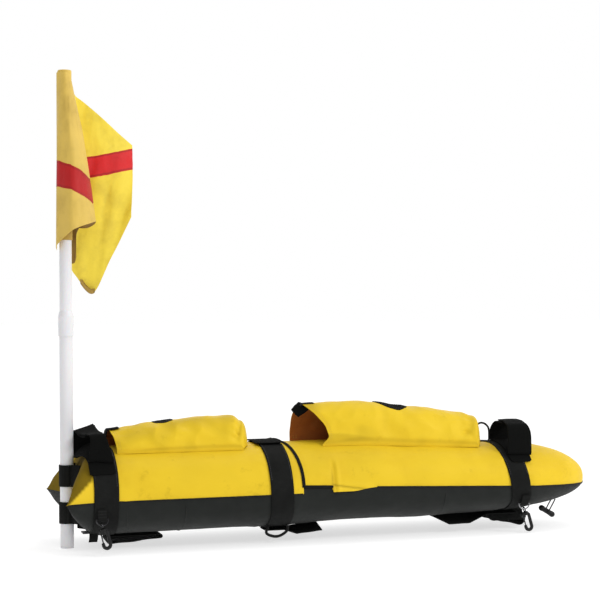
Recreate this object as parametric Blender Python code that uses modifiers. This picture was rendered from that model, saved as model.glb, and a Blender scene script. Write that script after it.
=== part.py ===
"""Inflatable dive float with a flag on a two-piece pole, built piece by piece.

Metres, +Z up. X runs along the hull from the tail to the nose, Y runs away
from the side that faces the viewer, and z = 0 is the foot of the flag pole.
"""
import math

import bmesh
import bpy
from mathutils import Matrix, Vector

# Fits between pieces that touch, slide or turn.
SEAT = 0.0004
STRAP_SEAT = 0.0008
SEAM_GAP = 0.0005
CLOTH_SEAM_GAP = 0.0012
HANG_GAP = 0.0012
RUNNING_GAP = 0.0004
CUT_OVERRUN = 0.002
MERGE_DISTANCE = 0.00001

# Webbing and sheet stock.
WEBBING_WIDTH = 0.040
WEBBING_THICKNESS = 0.0020
GUN_STRAP_WIDTH = 0.045
GUN_STRAP_THICKNESS = 0.0022
NARROW_WEBBING_WIDTH = 0.016
NARROW_WEBBING_THICKNESS = 0.0012
COVER_THICKNESS = 0.0012
POCKET_THICKNESS = 0.0012
FLAG_CLOTH_THICKNESS = 0.0008
BLADDER_WALL = 0.0010
BLADDER_GAP = 0.0014
BLADDER_END_GAP = 0.0070

# Hull.
HULL_LENGTH = 1.070
HULL_WIDTH = 0.225
SECTION_POWER = 2.5
SEAM_HEIGHT = 0.095
CROWN_HEIGHT = 0.089
KEEL_DEPTH = 0.068
EAR_SPREAD = 0.278
EAR_REACH = 0.040
EAR_CURVE_POWER = 1.6
EAR_LENGTH = 0.100
EAR_FLARE_POWER = 1.5
TAIL_RISE_MIDDLE = 0.045
TAIL_RISE_EAR = 0.070
TAIL_POWER_MIDDLE = 2.5
TAIL_POWER_EAR = 2.2
TAIL_EDGE_REACH = 0.150
NOSE_PLAN_LENGTH = 0.200
NOSE_CROWN_LENGTH = 0.180
NOSE_KEEL_LENGTH = 0.240
TAPER_START_X = 0.050
TAPER_LENGTH = 0.300
TAPER_SHARE = 0.16
TAIL_X = -HULL_LENGTH / 2
NOSE_X = HULL_LENGTH / 2
TAIL_MIDDLE_X = TAIL_X + EAR_REACH

# Joint between the rear and the front cover, and the step of the seam there.
BINDING_X = -0.088
BINDING_BOW = 0.014
BINDING_BOW_REACH = 0.080
BINDING_WIDTH = 0.007
BINDING_THICKNESS = 0.0015
SEAM_LIFT = 0.013
NOSE_SEAM_DROP = 0.010
NOSE_SEAM_DROP_LIMIT_SHARE = 0.5

# Pockets on top of the hull.
POCKET_SIDE_INSET = 0.0525
POCKET_HALF_WIDTH = HULL_WIDTH / 2 - POCKET_SIDE_INSET
POCKET_POWER = 2.7
POCKET_MOUTH_POWER = 2.0
POCKET_MOUTH_REACH = 0.080
POCKET_MOUTH_FAR_SHARE = 0.25
POCKET_END_ROUND = 0.017
FRONT_POCKET_START = -0.060
FRONT_POCKET_SETBACK = 0.232
FRONT_POCKET_END = NOSE_X - FRONT_POCKET_SETBACK
FRONT_POCKET_HEIGHT = 0.074
FRONT_POCKET_MOUTH_SLANT = 0.026
FRONT_POCKET_SHARES = ((0.0, 0.98), (0.22, 1.0), (0.42, 0.99), (0.62, 0.91), (0.92, 0.78), (0.975, 0.70), (1.0, 0.0))
REAR_POCKET_SETBACK = 0.0990
REAR_POCKET_START = TAIL_X + REAR_POCKET_SETBACK
REAR_POCKET_END = -0.174
REAR_POCKET_HEIGHT = 0.055
REAR_POCKET_MOUTH_SLANT = 0.006
REAR_POCKET_SHARES = ((0.0, 0.60), (0.16, 0.70), (0.32, 0.79), (0.48, 0.88), (0.72, 0.97), (0.90, 0.97), (0.96, 0.80), (1.0, 0.0))
MOUTH_TAB_WIDTH = 0.030
MOUTH_TAB_LAP = 0.018
FRONT_TAB_OVERHANG = 0.014
REAR_TAB_OVERHANG = 0.0035
MOUTH_TAB_DROP = 0.014

# Straps round the hull.
REAR_STRAP_SETBACK = 0.078
FRONT_STRAP_SETBACK = 0.182
REAR_STRAP_X = TAIL_X + REAR_STRAP_SETBACK
MIDDLE_STRAP_X = -0.133
FRONT_STRAP_X = NOSE_X - FRONT_STRAP_SETBACK
MIDDLE_FLAP_LENGTH = 0.054
MIDDLE_FLAP_LAP = 0.025
MIDDLE_FLAP_HALF_WIDTH = 0.046
SLIDER_LENGTH = 0.050
SLIDER_WIDTH = 0.026
SLIDER_THICKNESS = 0.0025
SLIDER_SLOT_LENGTH = 0.040
SLIDER_SLOT_WIDTH = 0.006
SLIDER_Y = 0.030

# Hook-and-loop straps that stand as rings on top of the hull.
RING_SIDE_INSET = 0.0135
RING_NEAR_Y = RING_SIDE_INSET - HULL_WIDTH / 2
RING_CORNER = 0.018
FRONT_RING_LEAD = 0.007
FRONT_RING_X = FRONT_STRAP_X + FRONT_RING_LEAD
FRONT_RING_FAR_Y = 0.006
FRONT_RING_RISE = 0.035
FRONT_RING_TOP = SEAM_HEIGHT + CROWN_HEIGHT + FRONT_RING_RISE
REAR_RING_TRAIL = 0.008
REAR_RING_X = REAR_STRAP_X - REAR_RING_TRAIL
REAR_RING_FAR_Y = 0.034
REAR_RING_RISE = 0.037
REAR_RING_TOP = SEAM_HEIGHT + CROWN_HEIGHT + REAR_RING_RISE
RING_FLAP_LIFT = 0.0036
RING_FLAP_OVERHANG = 0.012
REAR_RING_EAR = 0.013

# Loops and tails under the hull.
BELLY_LOOP_WIDTH = 0.045
BELLY_LOOP_Y = -0.020
BELLY_LOOP_NIP_RADIUS = 0.0040
FRONT_BELLY_LOOP_TRAIL = 0.051
FRONT_BELLY_LOOP_LENGTH = 0.092
FRONT_BELLY_LOOP_DROP = 0.0205
FRONT_BELLY_LOOP_TILT = 0.013
FRONT_BELLY_LOOP_START = FRONT_STRAP_X - FRONT_BELLY_LOOP_TRAIL
FRONT_BELLY_LOOP_END = FRONT_BELLY_LOOP_START + FRONT_BELLY_LOOP_LENGTH
FRONT_BELLY_LOOP_BOTTOM = SEAM_HEIGHT - KEEL_DEPTH - FRONT_BELLY_LOOP_DROP
REAR_BELLY_LOOP_LEAD = 0.009
REAR_BELLY_LOOP_LENGTH = 0.106
REAR_BELLY_LOOP_DROP = 0.0180
REAR_BELLY_LOOP_TILT = 0.003
REAR_BELLY_LOOP_START = REAR_STRAP_X + REAR_BELLY_LOOP_LEAD
REAR_BELLY_LOOP_END = REAR_BELLY_LOOP_START + REAR_BELLY_LOOP_LENGTH
REAR_BELLY_LOOP_BOTTOM = SEAM_HEIGHT - KEEL_DEPTH - REAR_BELLY_LOOP_DROP
TAIL_SHEET_Y = -0.042
MIDDLE_TAIL_LENGTH = 0.110
MIDDLE_TAIL_DROP = 0.0025
FRONT_TAIL_LENGTH = 0.158
FRONT_TAIL_DROP = 0.0040
TAIL_SHEET_TILT = 0.0105

# Lift loop in front of the forward pocket.
LIFT_CORD_DIAMETER = 0.0040
LIFT_LOOP_SETBACK = 0.0255
LIFT_LOOP_LENGTH = 0.017
LIFT_LOOP_RISE = 0.024
LIFT_LOOP_FRONT_X = FRONT_STRAP_X - LIFT_LOOP_SETBACK
LIFT_LOOP_REAR_X = LIFT_LOOP_FRONT_X - LIFT_LOOP_LENGTH
LIFT_LOOP_TOP = SEAM_HEIGHT + CROWN_HEIGHT + LIFT_LOOP_RISE
LIFT_BASE_LENGTH = 0.0250
LIFT_BASE_WIDTH = 0.025

# Flag pole.
POLE_SETBACK = 0.021
POLE_X = TAIL_X + POLE_SETBACK
LOWER_TUBE_DIAMETER = 0.025
UPPER_TUBE_DIAMETER = 0.023
TUBE_WALL = 0.0017
POLE_HEIGHT = 0.885
BELL_MOUTH_HEIGHT = 0.393
BELL_DEPTH = 0.037
BELL_WALL = 0.0014
BELL_TAPER = 0.010
POLE_FOOT_FLANGE = 0.003
POLE_FOOT_SPIGOT = 0.018
POLE_SIDES = 32
UPPER_LOOP_RISE = 0.0395
LOWER_LOOP_DROP = 0.0290
UPPER_LOOP_Z = SEAM_HEIGHT + UPPER_LOOP_RISE
LOWER_LOOP_Z = SEAM_HEIGHT - LOWER_LOOP_DROP
POLE_LOOP_SPREAD = 0.030

# Flag.
FLAG_HEIGHT = 0.296
FLAG_LENGTH = 0.296
FLAG_TOP_GAP = 0.001
FLAG_TOP = POLE_HEIGHT - FLAG_TOP_GAP
FLAG_BOTTOM = FLAG_TOP - FLAG_HEIGHT
SLEEVE_WALL = 0.0009
SLEEVE_CLEARANCE = 0.0006
SLEEVE_TOP_RISE = 0.002

# Valve on the far side of the hull.
VALVE_X = -0.020
VALVE_HOLE_LENGTH = 0.015
VALVE_FLANGE_DIAMETER = 0.030
VALVE_FLANGE_THICKNESS = 0.0020
VALVE_NECK_DIAMETER = 0.011
VALVE_NECK_LENGTH = 0.009
VALVE_STEM_DIAMETER = 0.013
VALVE_STEM_HEIGHT = 0.009
VALVE_BORE = 0.006
VALVE_CAP_DIAMETER = 0.019
VALVE_CAP_HEIGHT = 0.011
VALVE_CAP_WALL = 0.0022

# D-rings and snap hooks, near side, one pair at each end.
HOOK_OFFSET = 0.011
REAR_HOOK_X = REAR_STRAP_X - HOOK_OFFSET
FRONT_HOOK_X = FRONT_STRAP_X + HOOK_OFFSET
HOOK_TAB_RISE = 0.019
REAR_RING_BAR_DROP = 0.029
FRONT_RING_BAR_DROP = 0.038
REAR_RING_BAR_Z = SEAM_HEIGHT - REAR_RING_BAR_DROP
FRONT_RING_BAR_Z = SEAM_HEIGHT - FRONT_RING_BAR_DROP
RING_BAR_OFFSET = 0.0062
RING_WIRE_DIAMETER = 0.0025
RING_HALF_WIDTH = 0.0110
RING_DROP = 0.0105
EYE_WIRE_DIAMETER = 0.0024
EYE_RADIUS = 0.0046
REAR_HOOK_TILT = math.radians(14)
FRONT_HOOK_TILT = math.radians(16)
SWIVEL_STEM_DIAMETER = 0.0030
SWIVEL_HEAD_DIAMETER = 0.0056
SWIVEL_HEAD_THICKNESS = 0.0016
COLLAR_DIAMETER = 0.0092
COLLAR_HEIGHT = 0.0036
HOOK_WIRE_DIAMETER = 0.0036
HOOK_BEND_RADIUS = 0.0062
HOOK_LENGTH = 0.0430
GATE_WIRE_DIAMETER = 0.0024
GATE_BARREL_DIAMETER = 0.0046
GATE_PIN_DIAMETER = 0.0018
GATE_EAR_THICKNESS = 0.0012

# Cord loop under the middle strap, and the toggle on its loop at the nose.
STRINGER_DIAMETER = 0.0055
STRINGER_Y = -0.071
NOSE_CORD_DIAMETER = 0.0025
NOSE_TOGGLE_LENGTH = 0.034
NOSE_TOGGLE_DIAMETER = 0.009
NOSE_TOGGLE_WAIST_SHARE = 0.85
NOSE_TOGGLE_BORE = 0.0034
NOSE_TOGGLE_SETBACK = 0.092
NOSE_TOGGLE_Y = -0.038
NOSE_TOGGLE_DROP = 0.064
NOSE_TOGGLE_POINT = Vector((NOSE_X - NOSE_TOGGLE_SETBACK, NOSE_TOGGLE_Y, SEAM_HEIGHT - NOSE_TOGGLE_DROP))
NOSE_TOGGLE_TILT = math.radians(31)

# Colours.
YELLOW = (0.83, 0.56, 0.03)
CHARCOAL = (0.028, 0.033, 0.035)
BLACK = (0.010, 0.011, 0.012)
WHITE = (0.82, 0.83, 0.84)
RED = (0.55, 0.02, 0.03)
STEEL = (0.60, 0.60, 0.60)
RUBBER_GREY = (0.05, 0.05, 0.055)

UP = Vector((0.0, 0.0, 1.0))


def clear_scene():
    for item in list(bpy.data.objects):
        bpy.data.objects.remove(item, do_unlink=True)


def new_collection(name):
    collection = bpy.data.collections.new(name)
    bpy.context.scene.collection.children.link(collection)
    return collection


def material(name, color, roughness, metallic=0.0):
    found = bpy.data.materials.get(name)
    if found:
        return found
    made = bpy.data.materials.new(name)
    made.use_nodes = True
    shader = made.node_tree.nodes["Principled BSDF"]
    shader.inputs["Base Color"].default_value = (*color, 1.0)
    shader.inputs["Roughness"].default_value = roughness
    shader.inputs["Metallic"].default_value = metallic
    return made


def yellow_fabric():
    return material("coated yellow fabric", YELLOW, 0.45)


def charcoal_fabric():
    return material("charcoal fabric", CHARCOAL, 0.8)


def black_webbing():
    return material("black webbing", BLACK, 0.85)


def white_tube():
    return material("white tube", WHITE, 0.35)


def red_fabric():
    return material("red fabric", RED, 0.5)


def black_plastic():
    return material("black plastic", BLACK, 0.4)


def bright_steel():
    return material("bright steel", STEEL, 0.25, 1.0)


def bladder_film():
    return material("bladder film", RUBBER_GREY, 0.5)


def add_object(name, mesh, look, collection):
    mesh.materials.append(look)
    piece = bpy.data.objects.new(name, mesh)
    collection.objects.link(piece)
    return piece


def mesh_from_bmesh(name, shape, round_off=True):
    bmesh.ops.remove_doubles(shape, verts=shape.verts, dist=MERGE_DISTANCE)
    mesh = bpy.data.meshes.new(name)
    shape.to_mesh(mesh)
    shape.free()
    if round_off:
        mesh.shade_smooth()
        mesh.set_sharp_from_angle(angle=math.radians(35))
    return mesh


def add_grid(shape, rows, wrap, flip=False):
    """Quads between neighbouring rows of points; returns the rows of vertices."""
    verts = [[shape.verts.new(point) for point in row] for row in rows]
    count = len(rows[0])
    last = count if wrap else count - 1
    for low, high in zip(verts, verts[1:]):
        for i in range(last):
            j = (i + 1) % count
            corners = [low[i], low[j], high[j], high[i]]
            shape.faces.new(corners[::-1] if flip else corners)
    return verts


def sheet(name, rows, thickness, look, collection, wrap=False, side=1.0):
    """A sheet of even thickness over an open grid of points."""
    shape = bmesh.new()
    add_grid(shape, rows, wrap)
    piece = add_object(name, mesh_from_bmesh(name, shape), look, collection)
    solid = piece.modifiers.new("thickness", "SOLIDIFY")
    solid.thickness = thickness
    solid.offset = side
    solid.use_even_offset = True
    return piece


def loft_shell(name, outer, inner, look, collection, hole=None, wrap=False):
    """A wall between two grids of unlike sections, open at the grid's border.

    hole gives the row and column of one quad that is left out of both
    grids, with a rim round it, so that a closed wall has a way in.
    """
    shape = bmesh.new()
    outside = add_grid(shape, outer, wrap)
    inside = add_grid(shape, inner, wrap, flip=True)
    if hole:
        i, j = hole
        ring_out = (outside[i][j], outside[i][j + 1], outside[i + 1][j + 1], outside[i + 1][j])
        ring_in = (inside[i][j], inside[i][j + 1], inside[i + 1][j + 1], inside[i + 1][j])
        for ring in (ring_out, ring_in):
            for face in list(ring[0].link_faces):
                if all(vert in face.verts for vert in ring):
                    shape.faces.remove(face)
        for a in range(len(ring_out)):
            b = (a + 1) % len(ring_out)
            shape.faces.new((ring_out[a], ring_out[b], ring_in[b], ring_in[a]))
    if not wrap:
        count = len(outer[0])
        border = [(0, j) for j in range(count)]
        border += [(i, count - 1) for i in range(1, len(outer))]
        border += [(len(outer) - 1, j) for j in range(count - 2, -1, -1)]
        border += [(i, 0) for i in range(len(outer) - 2, 0, -1)]
        for a, b in zip(border, border[1:] + border[:1]):
            corners = (outside[b[0]][b[1]], outside[a[0]][a[1]], inside[a[0]][a[1]], inside[b[0]][b[1]])
            shape.faces.new(corners)
    bmesh.ops.remove_doubles(shape, verts=shape.verts, dist=MERGE_DISTANCE)
    bmesh.ops.dissolve_degenerate(shape, edges=shape.edges, dist=MERGE_DISTANCE)
    bmesh.ops.recalc_face_normals(shape, faces=shape.faces)
    if shape.calc_volume(signed=True) < 0:
        bmesh.ops.reverse_faces(shape, faces=shape.faces)
    return add_object(name, mesh_from_bmesh(name, shape), look, collection)


def turned(name, profile, look, collection, sides=POLE_SIDES):
    """A closed profile of (radius, height) pairs spun round Z."""
    mesh = bpy.data.meshes.new(name)
    points = [(radius, 0.0, height) for radius, height in profile]
    edges = [(i, (i + 1) % len(points)) for i in range(len(points))]
    if profile[0][0] == 0 and profile[-1][0] == 0:
        edges.pop()
    mesh.from_pydata(points, edges, [])
    piece = add_object(name, mesh, look, collection)
    screw = piece.modifiers.new("spin", "SCREW")
    screw.steps = sides
    screw.render_steps = sides
    screw.use_merge_vertices = True
    screw.merge_threshold = MERGE_DISTANCE
    turning = sum(a[0] * b[1] - b[0] * a[1] for a, b in zip(profile, profile[1:] + profile[:1]))
    screw.use_normal_flip = turning > 0
    return piece


def tube_curve(name, points, diameter, look, collection, cyclic=False, resolution=2):
    """A round bar or cord along a line of points."""
    curve = bpy.data.curves.new(name, "CURVE")
    curve.dimensions = "3D"
    curve.bevel_depth = diameter / 2
    curve.bevel_resolution = resolution
    curve.use_fill_caps = True
    curve.resolution_u = 1
    line = curve.splines.new("POLY")
    line.points.add(len(points) - 1)
    for spot, point in zip(line.points, points):
        spot.co = (*point, 1.0)
    line.use_cyclic_u = cyclic
    curve.materials.append(look)
    piece = bpy.data.objects.new(name, curve)
    collection.objects.link(piece)
    return piece


def curve_to_mesh(piece, collection):
    """Replace a curve object by its mesh, with the caps welded on."""
    graph = bpy.context.evaluated_depsgraph_get()
    mesh = bpy.data.meshes.new_from_object(piece.evaluated_get(graph))
    shape = bmesh.new()
    shape.from_mesh(mesh)
    bmesh.ops.remove_doubles(shape, verts=shape.verts, dist=MERGE_DISTANCE)
    bmesh.ops.recalc_face_normals(shape, faces=shape.faces)
    shape.to_mesh(mesh)
    shape.free()
    name = piece.name
    place = piece.matrix_world.copy()
    bpy.data.objects.remove(piece, do_unlink=True)
    solid = bpy.data.objects.new(name, mesh)
    solid.matrix_world = place
    collection.objects.link(solid)
    return solid


def make_cutter(piece, cutters):
    for home in list(piece.users_collection):
        home.objects.unlink(piece)
    cutters.objects.link(piece)
    piece.hide_render = True
    piece.display_type = "WIRE"
    return piece


def boolean(piece, other, operation, cutters):
    make_cutter(other, cutters)
    step = piece.modifiers.new(operation.lower(), "BOOLEAN")
    step.operation = operation
    step.solver = "EXACT"
    step.object = other
    return piece


def block(name, size, centre, look, collection):
    shape = bmesh.new()
    bmesh.ops.create_cube(shape, size=1.0)
    bmesh.ops.scale(shape, vec=size, verts=shape.verts)
    bmesh.ops.translate(shape, vec=centre, verts=shape.verts)
    return add_object(name, mesh_from_bmesh(name, shape, round_off=False), look, collection)


def cylinder(name, diameter, length, place, look, collection, sides=16):
    shape = bmesh.new()
    bmesh.ops.create_cone(shape, cap_ends=True, segments=sides, radius1=diameter / 2,
                          radius2=diameter / 2, depth=length, matrix=place)
    return add_object(name, mesh_from_bmesh(name, shape), look, collection)


def clamp(value):
    return max(0.0, min(1.0, value))


def power_curve(value, power):
    """Rise from 0 to 1 that leaves steeply and arrives level."""
    return (1.0 - (1.0 - clamp(value)) ** power) ** (1.0 / power)


def smooth_line(shares, value):
    """Smooth curve through (place, height) pairs, read at one place."""
    for (x0, h0), (x1, h1) in zip(shares, shares[1:]):
        if value <= x1:
            t = clamp((value - x0) / (x1 - x0))
            if h1 == 0.0:
                return h0 * math.sqrt(1.0 - t * t)
            return h0 + (h1 - h0) * (1.0 - math.cos(math.pi * t)) / 2
    return shares[-1][1]


def smooth_route(points, spacing):
    """Points every spacing or so on a smooth curve through the given ones."""
    padded = [points[0] * 2 - points[1], *points, points[-1] * 2 - points[-2]]
    route = []
    for a, b, c, d in zip(padded, padded[1:], padded[2:], padded[3:]):
        steps = max(1, round((c - b).length / spacing))
        for i in range(steps):
            t = i / steps
            route.append(((b * 2) + (c - a) * t + (a * 2 - b * 5 + c * 4 - d) * t ** 2
                          + (b * 3 - a - c * 3 + d) * t ** 3) / 2)
    route.append(points[-1])
    return route


def arc(centre_a, centre_b, radius, start, end, steps):
    """Points of an arc as pairs, angles in degrees."""
    pairs = []
    for i in range(steps + 1):
        angle = math.radians(start + (end - start) * i / steps)
        pairs.append((centre_a + radius * math.cos(angle), centre_b + radius * math.sin(angle)))
    return pairs


# Hull form.

def tail_edge(across, inset):
    """X of the tail's seam: pulled in at the middle, out at the two ears."""
    return TAIL_X + inset + EAR_REACH * (1.0 - abs(across) ** EAR_CURVE_POWER)


def half_width(x, inset=0.0):
    past = clamp((x - (NOSE_X - inset - NOSE_PLAN_LENGTH)) / NOSE_PLAN_LENGTH)
    flare = clamp(1.0 - (x - TAIL_X - inset) / EAR_LENGTH) ** EAR_FLARE_POWER
    width = HULL_WIDTH / 2 - inset + (EAR_SPREAD - HULL_WIDTH) / 2 * flare
    return width * math.sqrt(1.0 - past * past)


def end_share(x, across, nose_length, inset):
    """Share of the full height that the ends leave at a place on the hull."""
    rise = TAIL_RISE_MIDDLE + (TAIL_RISE_EAR - TAIL_RISE_MIDDLE) * across * across
    power = TAIL_POWER_MIDDLE + (TAIL_POWER_EAR - TAIL_POWER_MIDDLE) * across * across
    tail = power_curve((x - tail_edge(across, inset)) / rise, power)
    past = clamp((x - (NOSE_X - inset - nose_length)) / nose_length)
    taper = 1.0 - TAPER_SHARE * clamp((x - TAPER_START_X) / TAPER_LENGTH)
    return tail * taper * math.sqrt(1.0 - past * past)


def section_shares(angle):
    """Share across and share up of the hull's rounded section at an angle."""
    across = math.copysign(abs(math.cos(angle)) ** (2.0 / SECTION_POWER), math.cos(angle))
    up = math.copysign(abs(math.sin(angle)) ** (2.0 / SECTION_POWER), math.sin(angle))
    return across, up


def hull_point(x, angle, inset=0.0, lift=0.0):
    across, up = section_shares(angle)
    if up >= 0:
        height = up * (CROWN_HEIGHT - inset) * end_share(x, across, NOSE_CROWN_LENGTH, inset)
    else:
        height = up * (KEEL_DEPTH - inset) * end_share(x, across, NOSE_KEEL_LENGTH, inset)
    return Vector((x, across * half_width(x, inset), SEAM_HEIGHT + height + lift))


def hull_top(x, y, grow=0.0):
    """Height of the hull's upper side at a place in plan."""
    across = clamp(abs(y) / half_width(x, -grow))
    up = (1.0 - across ** SECTION_POWER) ** (1.0 / SECTION_POWER)
    return SEAM_HEIGHT + up * (CROWN_HEIGHT + grow) * end_share(x, across, NOSE_CROWN_LENGTH, -grow)


def hull_bottom(x, y, grow=0.0):
    """Height of the hull's under side at a place in plan."""
    across = clamp(abs(y) / half_width(x, -grow))
    up = (1.0 - across ** SECTION_POWER) ** (1.0 / SECTION_POWER)
    return SEAM_HEIGHT - up * (KEEL_DEPTH + grow) * end_share(x, across, NOSE_KEEL_LENGTH, -grow)


def hull_side(x, z, grow=0.0):
    """Half width of the hull's under side at a height below the seam."""
    up = clamp((SEAM_HEIGHT - z) / ((KEEL_DEPTH + grow) * end_share(x, 1.0, NOSE_KEEL_LENGTH, -grow)))
    return (1.0 - up ** SECTION_POWER) ** (1.0 / SECTION_POWER) * half_width(x, -grow)


TAIL_STATION_SHARES = (0.0, 0.02, 0.07, 0.15, 0.26, 0.39, 0.49, 0.62, 1.0)
NOSE_STATION_COUNT = 10
BODY_STATION_SPACING = 0.085
UPPER_ARC_STEPS = 16
LOWER_ARC_STEPS = 14
BLADDER_ARC_STEPS = 16
VALVE_COLUMN_COUNT = 2


def stations(start, end, pick=1):
    """Places along the hull, closer together towards tail and nose."""
    tail_end = TAIL_MIDDLE_X + TAIL_EDGE_REACH
    nose_start = NOSE_X - NOSE_KEEL_LENGTH
    places = [TAIL_MIDDLE_X + TAIL_EDGE_REACH * share for share in TAIL_STATION_SHARES[::pick]]
    count = round((nose_start - tail_end) / BODY_STATION_SPACING)
    places += [tail_end + (nose_start - tail_end) * i / count for i in range(1, count)]
    for i in range(0, NOSE_STATION_COUNT + 1, pick):
        turn = math.pi / 2 * i / NOSE_STATION_COUNT
        places.append(nose_start + NOSE_KEEL_LENGTH * math.sin(turn))
    hole = [VALVE_X - VALVE_HOLE_LENGTH / 2, VALVE_X + VALVE_HOLE_LENGTH / 2]
    places = [x for x in places if abs(x - VALVE_X) > VALVE_HOLE_LENGTH * 2] + hole
    margin = BINDING_WIDTH
    inner = [x for x in sorted(places) if start + margin < x < end - margin]
    return [start, *inner, end]


def seam_angle(x):
    """Angle of the colour seam, which steps up at the front cover."""
    if x < BINDING_X:
        return 0.0
    share = (x - BINDING_X) / (NOSE_X - BINDING_X)
    lift = SEAM_LIFT - (SEAM_LIFT + NOSE_SEAM_DROP) * share
    if lift >= 0:
        return math.asin((lift / CROWN_HEIGHT) ** (SECTION_POWER / 2))
    depth = KEEL_DEPTH * end_share(x, 1.0, NOSE_KEEL_LENGTH, 0.0)
    sunk = min(-lift, depth * NOSE_SEAM_DROP_LIMIT_SHARE)
    sunk_share = sunk / depth if depth > 0 else NOSE_SEAM_DROP_LIMIT_SHARE
    return -math.asin(sunk_share ** (SECTION_POWER / 2))


def cover_point(station, angle, inset, lift, end_gap=0.0):
    """Point of a cover, with the tail's curved edge and the binding's bow."""
    length = NOSE_X - TAIL_MIDDLE_X
    x = station + (inset + end_gap) * (1.0 - 2.0 * (station - TAIL_MIDDLE_X) / length)
    across, up = section_shares(angle)
    fade = clamp(1.0 - (station - TAIL_MIDDLE_X) / TAIL_EDGE_REACH)
    x += (tail_edge(across, 0.0) - TAIL_MIDDLE_X) * fade
    if up > 0:
        bow = clamp(1.0 - abs(station - BINDING_X) / BINDING_BOW_REACH)
        x -= BINDING_BOW * math.sin(angle) ** 2 * bow
    shift = end_gap * (1.0 - 2.0 * (station - TAIL_MIDDLE_X) / length)
    point = hull_point(x - shift, angle, inset, lift)
    plain = hull_point(x, angle, inset, lift)
    if abs(plain.y) < abs(point.y):
        point.y = plain.y
    point.x = x
    return point


def cover_rows(places, first_angle, last_angle, steps, inset, lift, end_gap=0.0):
    rows = []
    for place in places:
        start = first_angle(place)
        end = last_angle(place)
        rows.append([cover_point(place, start + (end - start) * i / steps, inset, lift, end_gap)
                     for i in range(steps + 1)])
    return rows


def far_seam(x):
    return seam_angle(x)


def near_seam(x):
    return math.pi - seam_angle(x)


def near_seam_below(x):
    return -math.pi - seam_angle(x)


def build_covers(parts):
    gap = SEAM_GAP / 2
    rear = stations(TAIL_MIDDLE_X, BINDING_X - gap)
    front = stations(BINDING_X + gap, NOSE_X)
    whole = rear + front
    for name, places in (("rear_upper_cover", rear), ("front_upper_cover", front)):
        outer = cover_rows(places, far_seam, near_seam, UPPER_ARC_STEPS, 0.0, gap)
        inner = cover_rows(places, far_seam, near_seam, UPPER_ARC_STEPS, COVER_THICKNESS, gap)
        loft_shell(name, outer, inner, yellow_fabric(), parts)
    outer = cover_rows(whole, far_seam, near_seam_below, LOWER_ARC_STEPS, 0.0, -gap)
    inner = cover_rows(whole, far_seam, near_seam_below, LOWER_ARC_STEPS, COVER_THICKNESS, -gap)
    hole = (valve_row(whole), VALVE_COLUMN_COUNT)
    loft_shell("lower_cover", outer, inner, charcoal_fabric(), parts, hole=hole)


def under_near_side(x):
    return -math.pi


def over_near_side(x):
    return math.pi


def valve_row(places):
    return min(range(len(places) - 1), key=lambda i: abs((places[i] + places[i + 1]) / 2 - VALVE_X))


def valve_angle():
    """Angle at the middle of the quad that is left open in the lower cover."""
    start = seam_angle(VALVE_X)
    return start - (math.pi + 2 * start) * (VALVE_COLUMN_COUNT + 0.5) / LOWER_ARC_STEPS


def build_bladder(parts):
    places = stations(TAIL_MIDDLE_X, NOSE_X, 2)
    outside = COVER_THICKNESS + BLADDER_GAP
    rows = []
    for inset in (outside, outside + BLADDER_WALL):
        ring = cover_rows(places, under_near_side, over_near_side, BLADDER_ARC_STEPS, inset, 0.0, BLADDER_END_GAP)
        rows.append([line[:-1] for line in ring])
    column = math.floor(BLADDER_ARC_STEPS * (valve_angle() + math.pi) / (2 * math.pi))
    hole = (valve_row(places), column)
    loft_shell("bladder", rows[0], rows[1], bladder_film(), parts, hole=hole, wrap=True)


def build_binding(parts):
    """Tape over the joint between the covers, from seam to seam."""
    grow = SEAT
    steps = UPPER_ARC_STEPS * 2
    rows = []
    for edge in (-BINDING_WIDTH / 2, BINDING_WIDTH / 2):
        low = seam_angle(BINDING_X + BINDING_WIDTH) + SEAM_GAP / CROWN_HEIGHT
        line = []
        for i in range(steps + 1):
            angle = low + (math.pi - 2 * low) * i / steps
            x = BINDING_X - BINDING_BOW * math.sin(angle) ** 2 + edge
            line.append(hull_point(x, angle, -grow, SEAM_GAP))
        rows.append(line)
    sheet("cover_binding", rows, BINDING_THICKNESS, black_webbing(), parts)


# Straps round the hull.

REAR_STRAP_ROWS = 6
PLAIN_STRAP_ROWS = 3


def strap_rows(centre_x, width, grow, row_count):
    """Closed rows round the hull, with corners where the covers have theirs."""
    angles = [math.pi * i / UPPER_ARC_STEPS for i in range(UPPER_ARC_STEPS)]
    angles += [math.pi + math.pi * i / LOWER_ARC_STEPS for i in range(LOWER_ARC_STEPS)]
    rows = []
    for r in range(row_count):
        x = centre_x - width / 2 + width * r / (row_count - 1)
        rows.append([hull_point(x, angle, -grow) for angle in angles])
    return rows


def build_hull_straps(parts):
    for name, x, count in (("rear_strap", REAR_STRAP_X, REAR_STRAP_ROWS),
                           ("middle_strap", MIDDLE_STRAP_X, 2),
                           ("front_strap", FRONT_STRAP_X, PLAIN_STRAP_ROWS)):
        rows = strap_rows(x, WEBBING_WIDTH, STRAP_SEAT, count)
        sheet(name, rows, WEBBING_THICKNESS, black_webbing(), parts, wrap=True)


def strap_stack():
    """Height of a strap's outer face over the hull, with the gap above it."""
    return STRAP_SEAT + WEBBING_THICKNESS + SEAT


def build_middle_flap(parts):
    """Hook-and-loop end of the middle strap, laid over its top."""
    steps = 10
    start = MIDDLE_STRAP_X + MIDDLE_FLAP_LAP
    rows = []
    for edge in (start - MIDDLE_FLAP_LENGTH, start - MIDDLE_FLAP_LENGTH / 2, start):
        line = []
        for i in range(steps + 1):
            y = MIDDLE_FLAP_HALF_WIDTH * (1 - 2 * i / steps)
            line.append(Vector((edge, y, hull_top(edge, y) + strap_stack())))
        rows.append(line)
    sheet("middle_strap_flap", rows, WEBBING_THICKNESS, black_webbing(), parts)


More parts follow.
